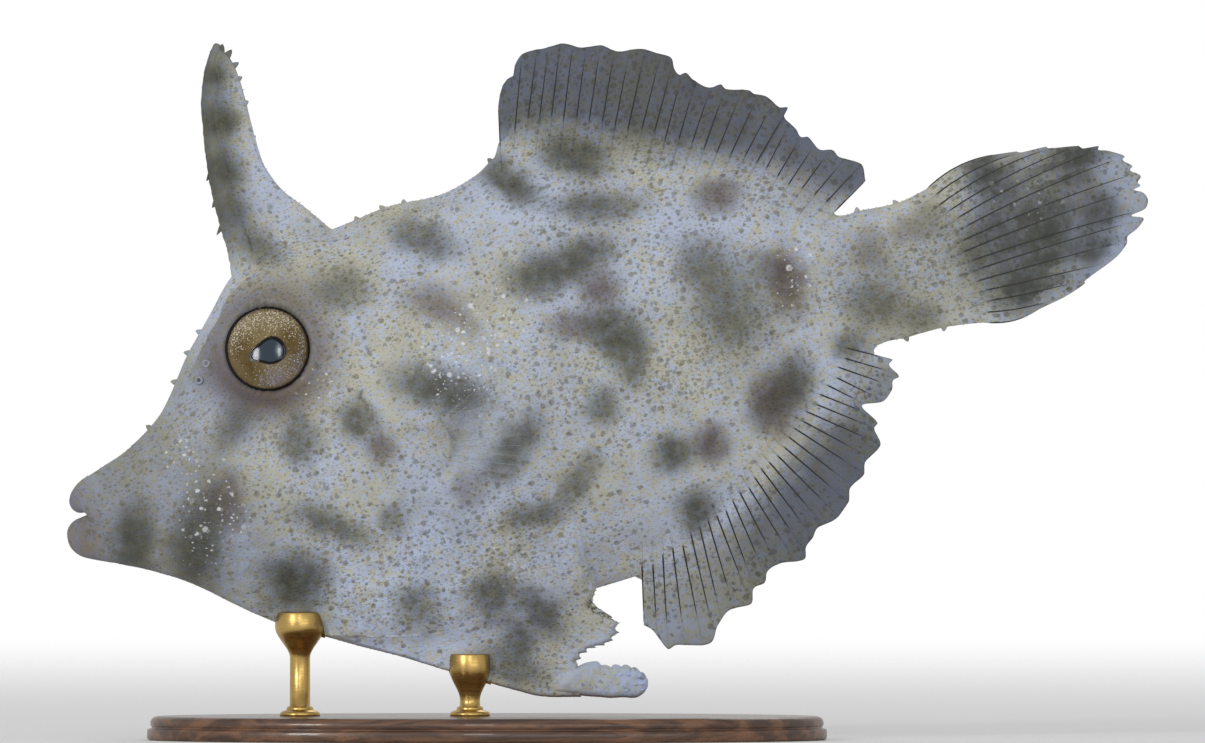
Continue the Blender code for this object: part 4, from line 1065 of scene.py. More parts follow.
def build_eye(name, side):
    """One eye: a fan of rings in front, a hidden back, and the values that its finish reads."""
    turn = np.linspace(0, 2 * np.pi, EYE_TURNS, endpoint=False)
    way = np.stack([np.cos(turn), np.sin(turn)], -1)
    pupil = way * pupil_reach(turn)[:, None] + PUPIL_HUB
    rings = [PUPIL_HUB + (pupil - PUPIL_HUB) * share for share in PUPIL_RINGS]
    rings += [pupil + (way * IRIS_EDGE - pupil) * share for share in np.linspace(0, 1, IRIS_RINGS)]
    flat = np.concatenate(rings + [[way[0] * 0, way[0] * 0 + PUPIL_HUB]])
    levels = np.concatenate([np.full(len(PUPIL_RINGS), -1.0), np.linspace(0, 1, IRIS_RINGS)])
    level = np.append(np.repeat(levels, EYE_TURNS), [-1.0, -1.0])
    x, z = flat.T
    off_u, off_v = x * COS + z * SIN, z * COS - x * SIN
    y = eye_face(off_u, off_v) - EDGE_GROOVE * (1 - smooth(-0.5, 0.06, level))
    front = np.stack([EYE[0] + off_u, side * y, EYE[1] + off_v], -1)
    back = front[-2 - EYE_TURNS:-2] * (1, 0, 1) + (0, side * (EYE_Y - EYE_BACK), 0)
    rows = len(rings) + 1
    places = np.concatenate([front[:-2], back, [front[-1], back.mean(0)]])
    faces = quads(rows, EYE_TURNS, wrap=True).tolist()
    for i in range(EYE_TURNS):
        j, last = (i + 1) % EYE_TURNS, (rows - 1) * EYE_TURNS
        faces += [[rows * EYE_TURNS, j, i], [rows * EYE_TURNS + 1, last + i, last + j]]
    made = add_mesh(name, places, faces, iris_finish)

    def keep(title, kind, values):
        """Stores values of the front, with the values of the rim for the hidden back."""
        values = np.asarray(values)
        last = values[-2 - EYE_TURNS:-2]
        store(made.data, title, kind, np.concatenate([values[:-2], last, values[-1:], last[:1]]))

    iris = level >= 0
    reach = np.hypot(x, z)
    outer = smooth(1.6, 3.6, reach)
    cream = np.clip(0.12 + 0.95 * smooth(-0.5, 3.2, z - 0.25 * x), 0, 1) * (0.35 + 0.65 * outer)
    frost = np.clip(1.1 * clouds_at(FROST_CLOUDS, x, z), 0, 1)
    keep("fleck_place", "FLOAT_VECTOR", np.column_stack([flat, np.zeros_like(x)]))
    keep("cream", "FLOAT", iris * cream)
    keep("frost", "FLOAT", iris * frost)
    keep("umber", "FLOAT", iris * np.clip(clouds_at(UMBER_CLOUDS, x, z), 0, 1))
    in_pupil = np.append(np.repeat(PUPIL_RINGS, EYE_TURNS), np.zeros(len(x) - len(PUPIL_RINGS) * EYE_TURNS))
    pupil_core = ~iris & (in_pupil < CORE)
    # two painted highlights in the pupil, one to each side, washed over its grey
    sheen = (np.exp(-((x + 1.15) / 0.3) ** 2 - ((z + 0.55) / 0.45) ** 2)
             + np.exp(-((x - 1.15) / 0.25) ** 2 - ((z + 0.1) / 0.5) ** 2))
    lilac = 0.8 * iris * np.clip(clouds_at(LILAC_CLOUDS, x, z), 0, 1)
    keep("wash", "FLOAT_COLOR", layered(len(x), [
        (LILAC, lilac), (UMBER, 0.5 * iris * smooth(3.6, 3.95, reach)),
        (PUPIL_RIM, smooth(3.95, 4.03, reach)),
        (PUPIL_RIM, np.where(iris, 1 - smooth(0.02, 0.065, level), 1.0)),
        (PUPIL_GREY, 1.0 * pupil_core), (PAINTED_PUPIL_HIGHLIGHT, pupil_core * np.clip(0.6 * sheen, 0, 1))]))
    return made


for name, side in (("left_eye", -1), ("right_eye", 1)):
    pieces[name] = build_eye(name, side)
print("each eye has", len(pieces["left_eye"].data.polygons), "faces")

# %% [markdown]
# ## Eye rims and nostrils
# A dark, soft ring seals each eye to its socket. In front of it lie two nostrils on each side, each a
# low collar round a pit. Both are tubes bent into rings and laid on the surface, so one helper that
# sweeps a small circle round a closed path makes them all.

# %% Rings laid on the surface
NOSTRILS = [(16.7, 9.3), (17.9, 10.7)]
RIM_RING, RIM_TUBE, NOSTRIL_RING, NOSTRIL_TUBE = 4.07, 0.11, 0.3, 0.13


def ring_tube(middle, reach, tube, side, face, turns, sides):
    """Points and faces of a tube laid in a ring on a surface that face(u, v) gives."""
    a, b = np.meshgrid(np.linspace(0, 2 * np.pi, turns, endpoint=False),
                       np.linspace(0, 2 * np.pi, sides, endpoint=False), indexing="ij")
    out = reach + tube * np.cos(b)
    u, v = middle[0] + out * np.cos(a), middle[1] + out * np.sin(a)
    y = face(middle[0] + reach * np.cos(a), middle[1] + reach * np.sin(a)) + tube * np.sin(b)
    points = np.stack([u, side * y, v], -1).reshape(-1, 3)
    faces = quads(turns + 1, sides, wrap=True, flip=side > 0) % (turns * sides)
    return points, faces.tolist()


def join_parts(parts):
    """Several (points, faces) as one."""
    points, faces, start = [], [], 0
    for some, corners in parts:
        points.append(np.asarray(some, float))
        faces += [[start + i for i in face] for face in corners]
        start += len(some)
    return np.concatenate(points), faces


def pit(middle, reach, side, depth, turns=18):
    """A shallow bowl that fills a nostril's ring. Its dark is painted shade, laid on it later."""
    points = []
    for share in (1.0, 0.6, 0.25):
        for a in np.linspace(0, 2 * np.pi, turns, endpoint=False):
            u, v = middle[0] + reach * share * math.cos(a), middle[1] + reach * share * math.sin(a)
            points.append((u, side * (float(flank(u, v)) - depth * (1 - share) + 0.02), v))
    for below in (0, 0.3):
        points.append((middle[0], side * (float(flank(*middle)) - depth - below), middle[1]))
    faces = quads(3, turns, wrap=True).tolist()
    for i in range(turns):
        after = (i + 1) % turns
        faces += [[3 * turns, 2 * turns + after, 2 * turns + i], [3 * turns + 1, i, after]]
    return points, faces


# %% Build the rims and nostrils
RIM_LIFT, PIT_DEPTH, RIM_BLACK = 0.03, 0.1, paint(14, 12, 13)


def on_eye(u, v):
    """How far a rim's middle is from the middle plane, just over the eye's surface."""
    return eye_face(u - EYE[0], v - EYE[1]) + RIM_LIFT


rims, nostrils, dark = [], [], []
for side in (-1, 1):
    rims.append(ring_tube(EYE, RIM_RING, RIM_TUBE, side, on_eye, 120, 12))
    for middle in NOSTRILS:
        collar = ring_tube(middle, NOSTRIL_RING, NOSTRIL_TUBE, side, flank, 24, 10)
        hollow = pit(middle, NOSTRIL_RING, side, PIT_DEPTH)
        nostrils += [collar, hollow]
        dark += [0.0] * len(collar[0]) + [1.0] * len(hollow[0])
pieces["eye_rims"] = add_mesh("eye_rims", *join_parts(rims), rim_finish)
pieces["nostrils"] = add_mesh("nostrils", *join_parts(nostrils), skin_finish)
# the nostril pits are painted dark, as shade
for name, wash in (("eye_rims", [(RIM_BLACK, np.ones(len(pieces["eye_rims"].data.vertices)))]),
                   ("nostrils", [(HALO, np.full(len(dark), 0.35)), (PAINTED_SHADE_AND_RAY_DARK, 0.8 * np.array(dark))])):
    add_marks(pieces[name], wash)
    store(pieces[name].data, "dots", "FLOAT", np.zeros(len(pieces[name].data.vertices)))
print("nostrils:", len(NOSTRILS) * 2)

# %% [markdown]
# ## The first spine
# A filefish locks this spine upright over its eyes. It is stout, a little flattened, rough as a file,
# and armed with rows of small barbs that point down. The shaft is a tapered tube with grains and
# faint grooves. Its root is sunk in the head, with a swollen collar.

# %% Shaft of the spine
SHAFT_RINGS, SHAFT_SIDES, SHAFT_GROOVES, GROOVE_DEPTH, FLATTENED = 130, 30, 7, 0.035, 0.85
# height, rise and reach of the swollen collar at the root
ROOT_V, ROOT_SWELL, ROOT_REACH = 18.3, 0.35, 1.5


def across_line(line, share):
    """Places along a path, and the direction across it, both as (u, v)."""
    here = path_at(line, share)
    ahead = path_at(line, np.minimum(share + 0.01, 1)) - path_at(line, np.maximum(share - 0.01, 0))
    ahead /= np.linalg.norm(ahead, axis=-1)[:, None]
    return here, np.stack([ahead[:, 1], -ahead[:, 0]], -1)


share = np.linspace(0, 1, SHAFT_RINGS)
centre, across = across_line(SPINE_LINE, share)
turn = np.linspace(0, 2 * np.pi, SHAFT_SIDES, endpoint=False)
radius = line_at(SPINE_RADIUS, share)
radius = radius + ROOT_SWELL * np.exp(-((centre[:, 1] - ROOT_V) / ROOT_REACH) ** 2)
radius = radius * np.sqrt(np.clip((1.004 - share) / 0.012, 0.12, 1))
grooved = radius[:, None] * (1 + GROOVE_DEPTH * np.cos(SHAFT_GROOVES * turn)[None])
places = np.stack([centre[:, :1] + across[:, :1] * grooved * np.cos(turn),
                   FLATTENED * grooved * np.sin(turn),
                   centre[:, 1:] + across[:, 1:] * grooved * np.cos(turn)], -1).reshape(-1, 3)
grains = 0.05 * cloud(places, 0.8, 41) + 0.03 * cloud(places, 0.45, 42)
middle = np.stack([centre[:, 0], np.zeros_like(share), centre[:, 1]], -1).repeat(SHAFT_SIDES, 0)
places = middle + (places - middle) * (1 + grains * 0.8)[:, None]
faces = quads(SHAFT_RINGS, SHAFT_SIDES, wrap=True, flip=True).tolist()
faces += [list(range(SHAFT_SIDES)), list(range(len(places) - SHAFT_SIDES, len(places)))[::-1]]
shaft = add_mesh("first_spine", places, faces, horn_finish)
add_marks(shaft, [(HORN_GREY, horn_shade(points_of(shaft)))])
pieces["first_spine"] = shaft
above = points_of(shaft)[:, 2].max() - line_at(BACK, SPINE_LINE[0][0])
print("the shaft stands", above.round(1), "mm above the head")

# %% [markdown]
# ## Thorns on points
# Barbs, skin flaps and the grains of the pelvis are all small pegs set on a surface, which is work for
# Geometry Nodes: one tree puts a peg on each point of a mesh, turned to the direction and stretched
# to the size that the point stores. One number makes the peg anything from a sharp cone to a dome.

# %% A tree of nodes for thorns


def attribute_of(tree, name, kind="FLOAT_VECTOR"):
    """The value that a mesh in a tree of geometry carries under a name."""
    return node(tree, "GeometryNodeInputNamedAttribute", {"Name": name}, data_type=kind).outputs["Attribute"]


def turn_to(tree, way, axis="Z", **more):
    """The rotation that turns an axis to a direction."""
    inputs = {"Vector": way, **more}
    options = {"axis": "Y", "pivot_axis": "Z"} if more else {"axis": axis}
    return node(tree, "FunctionNodeAlignRotationToVector", inputs, **options).outputs[0]


def set_finish(tree, geometry, finish, output):
    """Gives real faces their finish, and sends them out of the tree."""
    dressed = node(tree, "GeometryNodeSetMaterial", {"Geometry": geometry, "Material": finish})
    tree.links.new(dressed.outputs[0], output)


thorns, given, result = new_group(
    "Thorns on points", "GeometryNodeTree",
    [("Geometry", "Geometry", None), ("Sides", "Int", 6), ("Roundness", "Float", 1.2),
     ("Finish", "Material", None)],
    [("Geometry", "Geometry")])
pole = node(thorns, "GeometryNodeMeshCone", {"Vertices": given["Sides"], "Side Segments": 6,
                                             "Radius Top": 0.5, "Radius Bottom": 0.5, "Depth": 1.0})
place = node(thorns, "GeometryNodeInputPosition").outputs[0]
up = node(thorns, "ShaderNodeSeparateXYZ", {0: place}).outputs[2]
up = maths(thorns, "POWER", maths(thorns, "MULTIPLY", up, 0.98), given["Roundness"])
flatter = maths(thorns, "DIVIDE", 1, given["Roundness"])
girth = maths(thorns, "POWER", maths(thorns, "SUBTRACT", 1, up), flatter)
narrowing = node(thorns, "ShaderNodeCombineXYZ", {0: girth, 1: girth, 2: 1.0}).outputs[0]
narrowed = vectors(thorns, "MULTIPLY", place, narrowing)
cone = node(thorns, "GeometryNodeSetPosition", {"Geometry": pole.outputs["Mesh"], "Position": narrowed})
upright = turn_to(thorns, attribute_of(thorns, "aim"))
sideways = turn_to(thorns, (0.0, 1.0, 0.0), Rotation=upright)
placed = node(thorns, "GeometryNodeInstanceOnPoints",
              {"Points": given["Geometry"], "Instance": cone.outputs[0], "Rotation": sideways,
               "Scale": attribute_of(thorns, "size")})
real = node(thorns, "GeometryNodeRealizeInstances", {0: placed.outputs[0]})
set_finish(thorns, real.outputs[0], given["Finish"], result["Geometry"])
print("nodes in the tree for thorns:", len(thorns.nodes))

# %% Running a tree on points


def run_tree(name, carrier, tree, **values):
    """Runs a tree on a carrier, and returns its result as a plain mesh object. The carrier is removed."""
    change = carrier.modifiers.new("nodes", "NODES")
    change.node_group = tree
    for item in tree.interface.items_tree:
        wanted = values.get(item.name.replace(" ", "_"))
        if item.in_out == "INPUT" and wanted is not None:
            change[item.identifier] = wanted
    bpy.context.view_layer.update()
    graph = bpy.context.evaluated_depsgraph_get()
    mesh = bpy.data.meshes.new_from_object(carrier.evaluated_get(graph), preserve_all_data_layers=True,
                                           depsgraph=graph)
    bpy.data.objects.remove(carrier)
    mesh.name = name
    return put_in_scene(name, mesh)


def aim_in_row(ways):
    """Directions (u, y, v) of the fish as directions in the frame."""
    return (to_row(ways) - to_row([0, 0, 0])) / MM


def thorn_set(name, spots, finish, washes=None, sides=6, roundness=1.2):
    """Thorns at spots of (foot, direction, width, thickness, length), all in millimetres."""
    feet, ways = [s[0] for s in spots], [s[1] for s in spots]
    carrier = add_mesh(name + "_points", feet, [])
    store(carrier.data, "aim", "FLOAT_VECTOR", aim_in_row(ways))
    store(carrier.data, "size", "FLOAT_VECTOR", np.array([s[2:5] for s in spots]) * MM)
    add_marks(carrier, washes(points_of(carrier)) if washes else ())
    return run_tree(name, carrier, thorns, Sides=sides, Roundness=roundness, Finish=finish)

# %% [markdown]
# ## Barbs
# Pairs of barbs run up the front of the spine, one to each side, smaller towards its tip. Three
# larger ones stand on the front edge, where the drawing shows them.

# %% Barbs of the spine
BARB_ROWS, FIRST_BARB, LAST_BARB = 17, 0.2, 0.96
# height and length of the larger barbs
FRONT_BARBS = ((28.7, 0.55), (25.9, 0.45), (23.4, 0.8))


def barb_spots():
    """Where the barbs stand, with their directions and sizes."""
    draw = random.Random("barbs")
    spots = []
    for share in np.linspace(FIRST_BARB, LAST_BARB, BARB_ROWS):
        (u, v), radius = path_at(SPINE_LINE, share), float(line_at(SPINE_RADIUS, share))
        length = (0.75 - 0.4 * share) * draw.uniform(0.8, 1.15)
        for side in (1, -1):
            foot = (u - 0.6 * radius, side * radius * 0.42, v + draw.uniform(-0.25, 0.25))
            spots.append((foot, (-0.5, side * 0.45, -0.9), 0.36, 0.3, length))
    for v, length in FRONT_BARBS:
        share = (v - SPINE_LINE[0][1]) / (SPINE_LINE[-1][1] - SPINE_LINE[0][1])
        u = float(path_at(SPINE_LINE, share)[0]) - float(line_at(SPINE_RADIUS, share)) * 0.8
        spots.append(((u, 0, v), (-0.75, 0, -0.65), 0.6, 0.45, length + 0.3))
    return spots


barbs = barb_spots()
pieces["barbs"] = thorn_set("barbs", barbs, horn_finish, lambda points: [(HORN_GREY, horn_shade(points))])
print("barbs:", len(barbs))

# %% [markdown]
# ## Fins
# A fin is a thin sheet of skin over soft rays. The sheet here is a grid with ten columns between
# two rays and two faces a tenth of a millimetre apart, thick and fleshy where it leaves the body.
# Between the rays it bellies out a little. Its edge is drawn point by point, with the steps and
# teeth of the picture. Slate comes in over the first two millimetres. A soft ray is really a pair
# of halves, one on each face of the fin, so the tubes for the rays follow both faces. Where
# skin wraps the fin's base, they lie on the skin.

# %% Edges of the fins
DORSAL_MARGIN = [(53.25, 26.8), (54.0, 28.3), (54.8, 29.1), (55.5, 29.2), (56.1, 30.3), (57.2, 31.1),
                 (59.6, 31.0), (61.3, 30.9), (62.9, 30.0), (64.9, 29.6), (66.2, 28.6), (68.6, 28.1),
                 (70.2, 27.1), (71.2, 26.4), (71.2, 25.2), (71.5, 24.5), (72.2, 24.5), (72.7, 23.6),
                 (74.0, 22.4), (75.2, 22.4), (75.5, 21.8), (77.7, 21.0), (78.1, 20.5), (79.2, 19.9),
                 (80.1, 18.5), (80.9, 18.2), (80.3, 17.4), (81.1, 15.9), (81.3, 15.0), (82.0, 14.8),
                 (82.7, 13.3), (84.0, 12.8), (84.4, 12.0), (86.3, 10.6), (86.2, 8.9)]
ANAL_MARGIN = [(52.0, -27.1), (52.7, -27.9), (53.6, -30.1), (54.5, -30.0), (57.8, -30.8), (59.1, -29.3),
               (60.6, -28.2), (62.9, -28.2), (63.6, -26.8), (64.8, -26.6), (65.4, -25.6), (66.8, -25.2),
               (69.3, -25.5), (69.8, -24.4), (70.7, -23.7), (71.5, -22.9), (73.4, -22.6), (75.2, -21.3),
               (75.8, -20.0), (77.4, -19.2), (78.0, -18.0), (79.9, -16.8), (79.8, -15.0), (80.3, -14.6),
               (79.3, -12.5), (81.4, -12.7), (82.6, -11.9), (83.0, -11.0), (83.7, -10.8), (83.1, -9.4),
               (83.6, -9.0)]
CAUDAL_MARGIN = [(99.6, 7.6), (101.6, 7.3), (101.8, 7.1), (104.5, 6.9), (104.6, 6.7), (107.7, 6.0),
                 (107.8, 5.7), (109.6, 5.4), (109.3, 5.1), (110.3, 4.7), (111.7, 3.7), (111.4, 3.4),
                 (112.2, 2.5), (111.8, 2.2), (112.7, 1.3), (112.2, 0.8), (112.4, 0.4), (111.6, 0.2),
                 (112.4, -0.3), (112.7, -1.1), (112.2, -1.9), (110.6, -2.2), (111.7, -2.8), (110.8, -3.6),
                 (109.6, -4.1), (109.4, -4.7), (108.0, -5.7), (104.2, -7.1), (104.3, -7.3), (101.5, -8.1),
                 (99.6, -8.2)]
PECTORAL_MARGIN = [(8.4, 4.5), (10.0, 2.4), (10.4, -0.6), (9.6, -3.4), (7.3, -5.2)]
# how deep a fin's foot sits in the body, how far it bellies out, and its half thickness at the edge
FIN_SEAT, BETWEEN_RAYS, BELLIED, EDGE_HALF = 1.2, 10, 0.07, 0.012
print("points on the fins' edges:", [len(m) for m in (DORSAL_MARGIN, ANAL_MARGIN, CAUDAL_MARGIN)])

# %% A fin's sheet


def fin_lines(base, margin, rays, scallop, bow, rows, seed, lead):
    """The (u, v) places of a fin's grid, column by column, and each column's part between two rays."""
    share = np.linspace(0, 1, (rays - 1) * BETWEEN_RAYS + 1)
    between = np.abs(np.sin(np.pi * share * (rays - 1)))
    ahead = lead * (1 - np.exp(-share / 0.02)) * np.exp(-share / 0.2)
    foot, tip = path_at(base, share), path_at(margin, share + ahead)
    way = (tip - foot) / np.linalg.norm(tip - foot, axis=-1)[:, None]
    sideways = np.stack([-way[:, 1], way[:, 0]], -1)
    draw = np.random.default_rng(seed)
    deep = np.repeat(draw.uniform(0.25, 1, rays), BETWEEN_RAYS)[:len(share)]
    tip = tip - way * (scallop * between**0.8 * deep)[:, None]
    along = np.linspace(0, 1, rows)
    bend = bow * (1 - 1.1 * share - 0.9 * share**6)[:, None] * (4 * along * (1 - along))[None]
    grid = foot[:, None] + (tip - foot)[:, None] * along[None, :, None] + sideways[:, None] * bend[..., None]
    return grid, between, share, along


def sheet_faces(count, rows):
    """The faces of two grids of points back to back, and of the narrow band round their edge."""
    total = count * rows
    front = quads(count, rows)
    faces = np.concatenate([front[:, ::-1], front + total]).tolist()
    rim = ([c * rows for c in range(count)] + [(count - 1) * rows + r for r in range(1, rows)]
           + [c * rows + rows - 1 for c in range(count - 2, -1, -1)] + list(range(rows - 2, 0, -1)))
    return faces + [[a, b, total + b, total + a] for a, b in zip(rim, rim[1:] + rim[:1])]


def build_fin(name, base, margin, rays, finish, scallop=0.05, bow=0.0, rows=40, flesh=0.6, sway=0.25,
              place=None, seed=5, fleshy=1.0, sheet=0.07, blunt=8, lead=0.0):
    """The fin's sheet, and for each of its rays one line on the right face and one on the left."""
    grid, between, share, along = fin_lines(base, margin, rays, scallop, bow, rows, seed, lead)
    off = np.linalg.norm(grid - grid[:, :1], axis=-1)
    middle = sway * np.sin(share * 9.0)[:, None] * along[None] ** 2
    bellied = between * np.sign(np.sin(np.pi * share * (rays - 1)))
    middle = middle + BELLIED * bellied[:, None] * smooth(0, 0.3, along)
    rounded = np.sqrt(np.maximum(1 - np.abs(2 * share - 1) ** blunt, 0))
    thick = sheet * (1 - 0.55 * along)[None] + flesh * np.exp(-off / fleshy) * rounded[:, None]
    thick[:, -1] = EDGE_HALF
    u, v = np.moveaxis(grid, -1, 0)
    layers = []
    for y in (middle + thick, middle - thick):
        layers.append(place(u, v, y) if place else np.stack([u, y, v], -1))
    points = np.concatenate([layer.reshape(-1, 3) for layer in layers])
    made = add_mesh(name, points, sheet_faces(*grid.shape[:2]), finish)
    return made, np.concatenate([layer[::BETWEEN_RAYS] for layer in layers]), off, share


def wash_over(fin, off, share):
    """How deep a fin's slate is at each point of its grid. It comes in with faint streaks."""
    streaks = 0.12 * np.sin(share * 170) + 0.2 * np.sin(share * 61 + 1)
    return slate(fin, share[:, None], off - FIN_SEAT + streaks[:, None])


# %% [markdown]
# ## Rays
# Each ray is a line of points over the fin. A tree of nodes sweeps a small circle along it, as thick
# as the points say. The lines of the large fins start on the body, so rays are shot at the skin to
# lay them on it.

# %% Rays of a fin, as a tree of nodes
ray_tree, given, result = new_group(
    "Rays along lines", "GeometryNodeTree",
    [("Geometry", "Geometry", None), ("Sides", "Int", 7), ("Finish", "Material", None)],
    [("Geometry", "Geometry")])
lines = node(ray_tree, "GeometryNodeMeshToCurve", {"Mesh": given["Geometry"]}).outputs[0]
profile = node(ray_tree, "GeometryNodeCurvePrimitiveCircle", {"Resolution": given["Sides"], "Radius": 1.0},
               mode="RADIUS").outputs[0]
tubes = node(ray_tree, "GeometryNodeCurveToMesh",
             {"Curve": lines, "Profile Curve": profile, "Scale": attribute_of(ray_tree, "thick", "FLOAT"),
              "Fill Caps": True})
real = node(ray_tree, "GeometryNodeRealizeInstances", {0: tubes.outputs[0]})
smoothed = node(ray_tree, "GeometryNodeSetShadeSmooth", {0: real.outputs[0]})
set_finish(ray_tree, smoothed.outputs[0], given["Finish"], result["Geometry"])


def on_skin(lines, inward):
    """Ray lines that start further up the body, and lie on the skin where it covers the fin."""
    way = lines[:, :1] - lines[:, 1:2]
    way /= np.linalg.norm(way, axis=-1)[..., None]
    lines = np.concatenate([lines[:, :1] + way * np.arange(inward, 0.1, -0.2)[None, :, None], lines], axis=1)
    for point in lines.reshape(-1, 3):
        side = math.copysign(1, point[1])
        hit = skin_tree.ray_cast(Vector(to_row((point[0], side * 30, point[2]))), Vector((0, -side, 0)))[0]
        if hit and side * hit.y / MM > side * point[1]:
            point[1] = hit.y / MM
    return lines


def build_rays(name, lines, finish, radius, tone, amount, low=((0, 0.06), (1, 0.06)),
               high=((0, 0.74), (1, 0.74)), inward=0.0, stop=0.95):
    """Tapered half rays on both faces of a fin, in its colour, with a dark stretch."""
    amount, rows = np.tile(amount[::BETWEEN_RAYS], (2, 1)), lines.shape[1]
    if inward:
        lines = on_skin(lines, inward)
    more = lines.shape[1] - rows
    amount = np.concatenate([np.repeat(amount[:, :1], more, 1), amount], axis=1)
    along = (np.arange(rows + more) - more) / (rows - 1)
    along[:more] = np.linspace(-0.12 * inward, 0, more, endpoint=False)
    kept = along <= stop
    along, lines, amount = along[kept][None], lines[:, kept], amount[:, kept]
    count, length = lines.shape[:2]
    edges = [(r * length + i, r * length + i + 1) for r in range(count) for i in range(length - 1)]
    carrier = add_mesh(name + "_lines", lines.reshape(-1, 3), [], edges=edges)
    draw = np.random.default_rng(count)
    order = np.linspace(0, 1, count // 2)
    lowest, highest = (np.tile(line_at(at, order) + draw.uniform(-0.04, 0.05, count // 2), 2)[:, None]
                       for at in (low, high))
    dark = smooth(lowest, lowest + 0.05, along) * (1 - smooth(highest, highest + 0.14, along))
    store(carrier.data, "thick", "FLOAT", np.tile(radius * (1 - 0.6 * np.abs(along)) * MM, (count, 1)))
    add_marks(carrier, [(tone, amount.ravel()), (PAINTED_SHADE_AND_RAY_DARK, dark.ravel())])
    return run_tree(name, carrier, ray_tree, Sides=7, Finish=finish)


# %% [markdown]
# ## Fins of the back, belly and tail
# The three large fins differ only in their edges, their number of rays and a few sizes, so one list
# names them all and one loop makes them.

# %% Dorsal, anal and tail fins
DORSAL_RAYS, ANAL_RAYS, CAUDAL_RAYS, PECTORAL_RAYS, RAY_RADIUS = 28, 29, 15, 11, 0.08
dorsal_base = beside(BACK, (51.2, 54, 58.4, 64, 70, 76, 79, 81.6), -FIN_SEAT)
anal_base = beside(THROAT, (53.7, 56, 58.6, 61.6, 64.9, 68.5, 71.6, 77.6, 81.0), FIN_SEAT)
tail_top, tail_bottom = ring_ends(np.array([92.4]))
caudal_base = [tail_top[0] - (0, 0.1), tail_bottom[0] + (0, 0.1)]
# name, base, edge, rays, finish, slate, and the options of the sheet and of the rays
FINS = [
    ("back_fin", dorsal_base, DORSAL_MARGIN, DORSAL_RAYS, fin_finish, DORSAL_SLATE,
     dict(lead=0.125, seed=3),
     dict(low=[(0, 0.3), (0.3, 0.25), (1, 0.27)], high=[(0, 0.79), (0.4, 0.72), (1, 0.7)], inward=0.4)),
    ("belly_fin", anal_base, ANAL_MARGIN, ANAL_RAYS, fin_finish, ANAL_SLATE,
     dict(seed=7),
     dict(low=[(0, 0.05), (0.2, -0.1), (1, -0.1)], high=[(0, 0.66), (0.3, 0.58), (1, 0.58)], inward=2.0)),
    ("tail_fin", caudal_base, CAUDAL_MARGIN, CAUDAL_RAYS, tail_finish, TAIL_SLATE,
     dict(bow=0.7, seed=9, rows=64, flesh=1.1, fleshy=2.6, sheet=0.09, blunt=2),
     dict(low=[(0, 0.04), (1, 0.08)], high=[(0, 0.7), (0.25, 0.88), (0.55, 0.82), (1, 0.6)], inward=0.4))]
for name, base, margin, rays, finish, tone, options, ray_options in FINS:
    made, lines, off, share = build_fin(name, base, margin, rays, finish, **options)
    amount = wash_over(name, off, share)
    add_marks(made, [(tone, np.tile(amount.ravel(), 2))])
    pieces[name] = made
    rays_name = name + "_rays"
    pieces[rays_name] = build_rays(rays_name, lines, finish, RAY_RADIUS, tone, amount, **ray_options)
    print(name, "has", rays, "rays and", len(made.data.polygons), "faces")

# %% [markdown]
# ## Side fins
# The side fins of a filefish are small, rounded and nearly clear, which is why the drawing has none,
# but the animal steers with them. Each grows from the fleshy root that the skin already has, and
# stands a little off the flank. Its membrane lets the flank show through, and its fine rays are a
# trace whiter.

# %% Build the side fins


def clear(name, least, most):
    """A wet, nearly clear membrane, with cloudier patches."""
    material, tree, shader = new_finish(name)
    shader.inputs["Base Color"].default_value = (*paint(172, 178, 184), 1)
    shader.inputs["Roughness"].default_value = 0.3
    cloudy = ramp(tree, noise(tree, in_mm(tree), 0.8, 3.0), 0.3, 0.7, least, most)
    tree.links.new(cloudy, shader.inputs["Alpha"])
    return material


def beside_flank(side):
    """Takes a point of a side fin's own plane to the fish's axes."""
    c, s = math.cos(FIN_SPREAD), math.sin(FIN_SPREAD)
    root_y = side * float(flank(*SHOULDER))

    def place(out, up, off):
        """The point at a distance out from the root, up, and off the fin's plane."""
        u, y = SHOULDER[0] + out * c - off * s, root_y + side * (out * s + off * c)
        return np.stack([u, y, SHOULDER[1] + up], -1)

    return place


clear_finish, clear_ray_finish = clear("clear membrane", 0.04, 0.1), clear("clear rays", 0.1, 0.2)
SIDE_FIN = dict(scallop=0.3, bow=0.3, rows=24, flesh=0.3, sway=0.1, seed=11, fleshy=0.8, sheet=0.05)
SIDE_FIN_BASE, SIDE_RAY_RADIUS = [(0.8, 1.5), (0.8, -1.5)], 0.05
for name, side in (("right_side_fin", 1), ("left_side_fin", -1)):
    made, lines, off, share = build_fin(name, SIDE_FIN_BASE, PECTORAL_MARGIN, PECTORAL_RAYS, clear_finish,
                                        place=beside_flank(side), **SIDE_FIN)
    pieces[name] = made
    rays_name = name + "_rays"
    pieces[rays_name] = build_rays(rays_name, lines, clear_ray_finish, SIDE_RAY_RADIUS, SLATE,
                                   np.zeros_like(off))
print("side fins:", PECTORAL_RAYS, "rays each")

# %% [markdown]
# ## Tip of the pelvis
# The pelvis of a filefish is one long bone under the belly. Its tip shows behind the flap as a blunt
# scaly wedge with small thorns. The wedge is a grid between two curves. Its rows of scutes
# are a wave in its thickness, and the thorns come from the tree above.

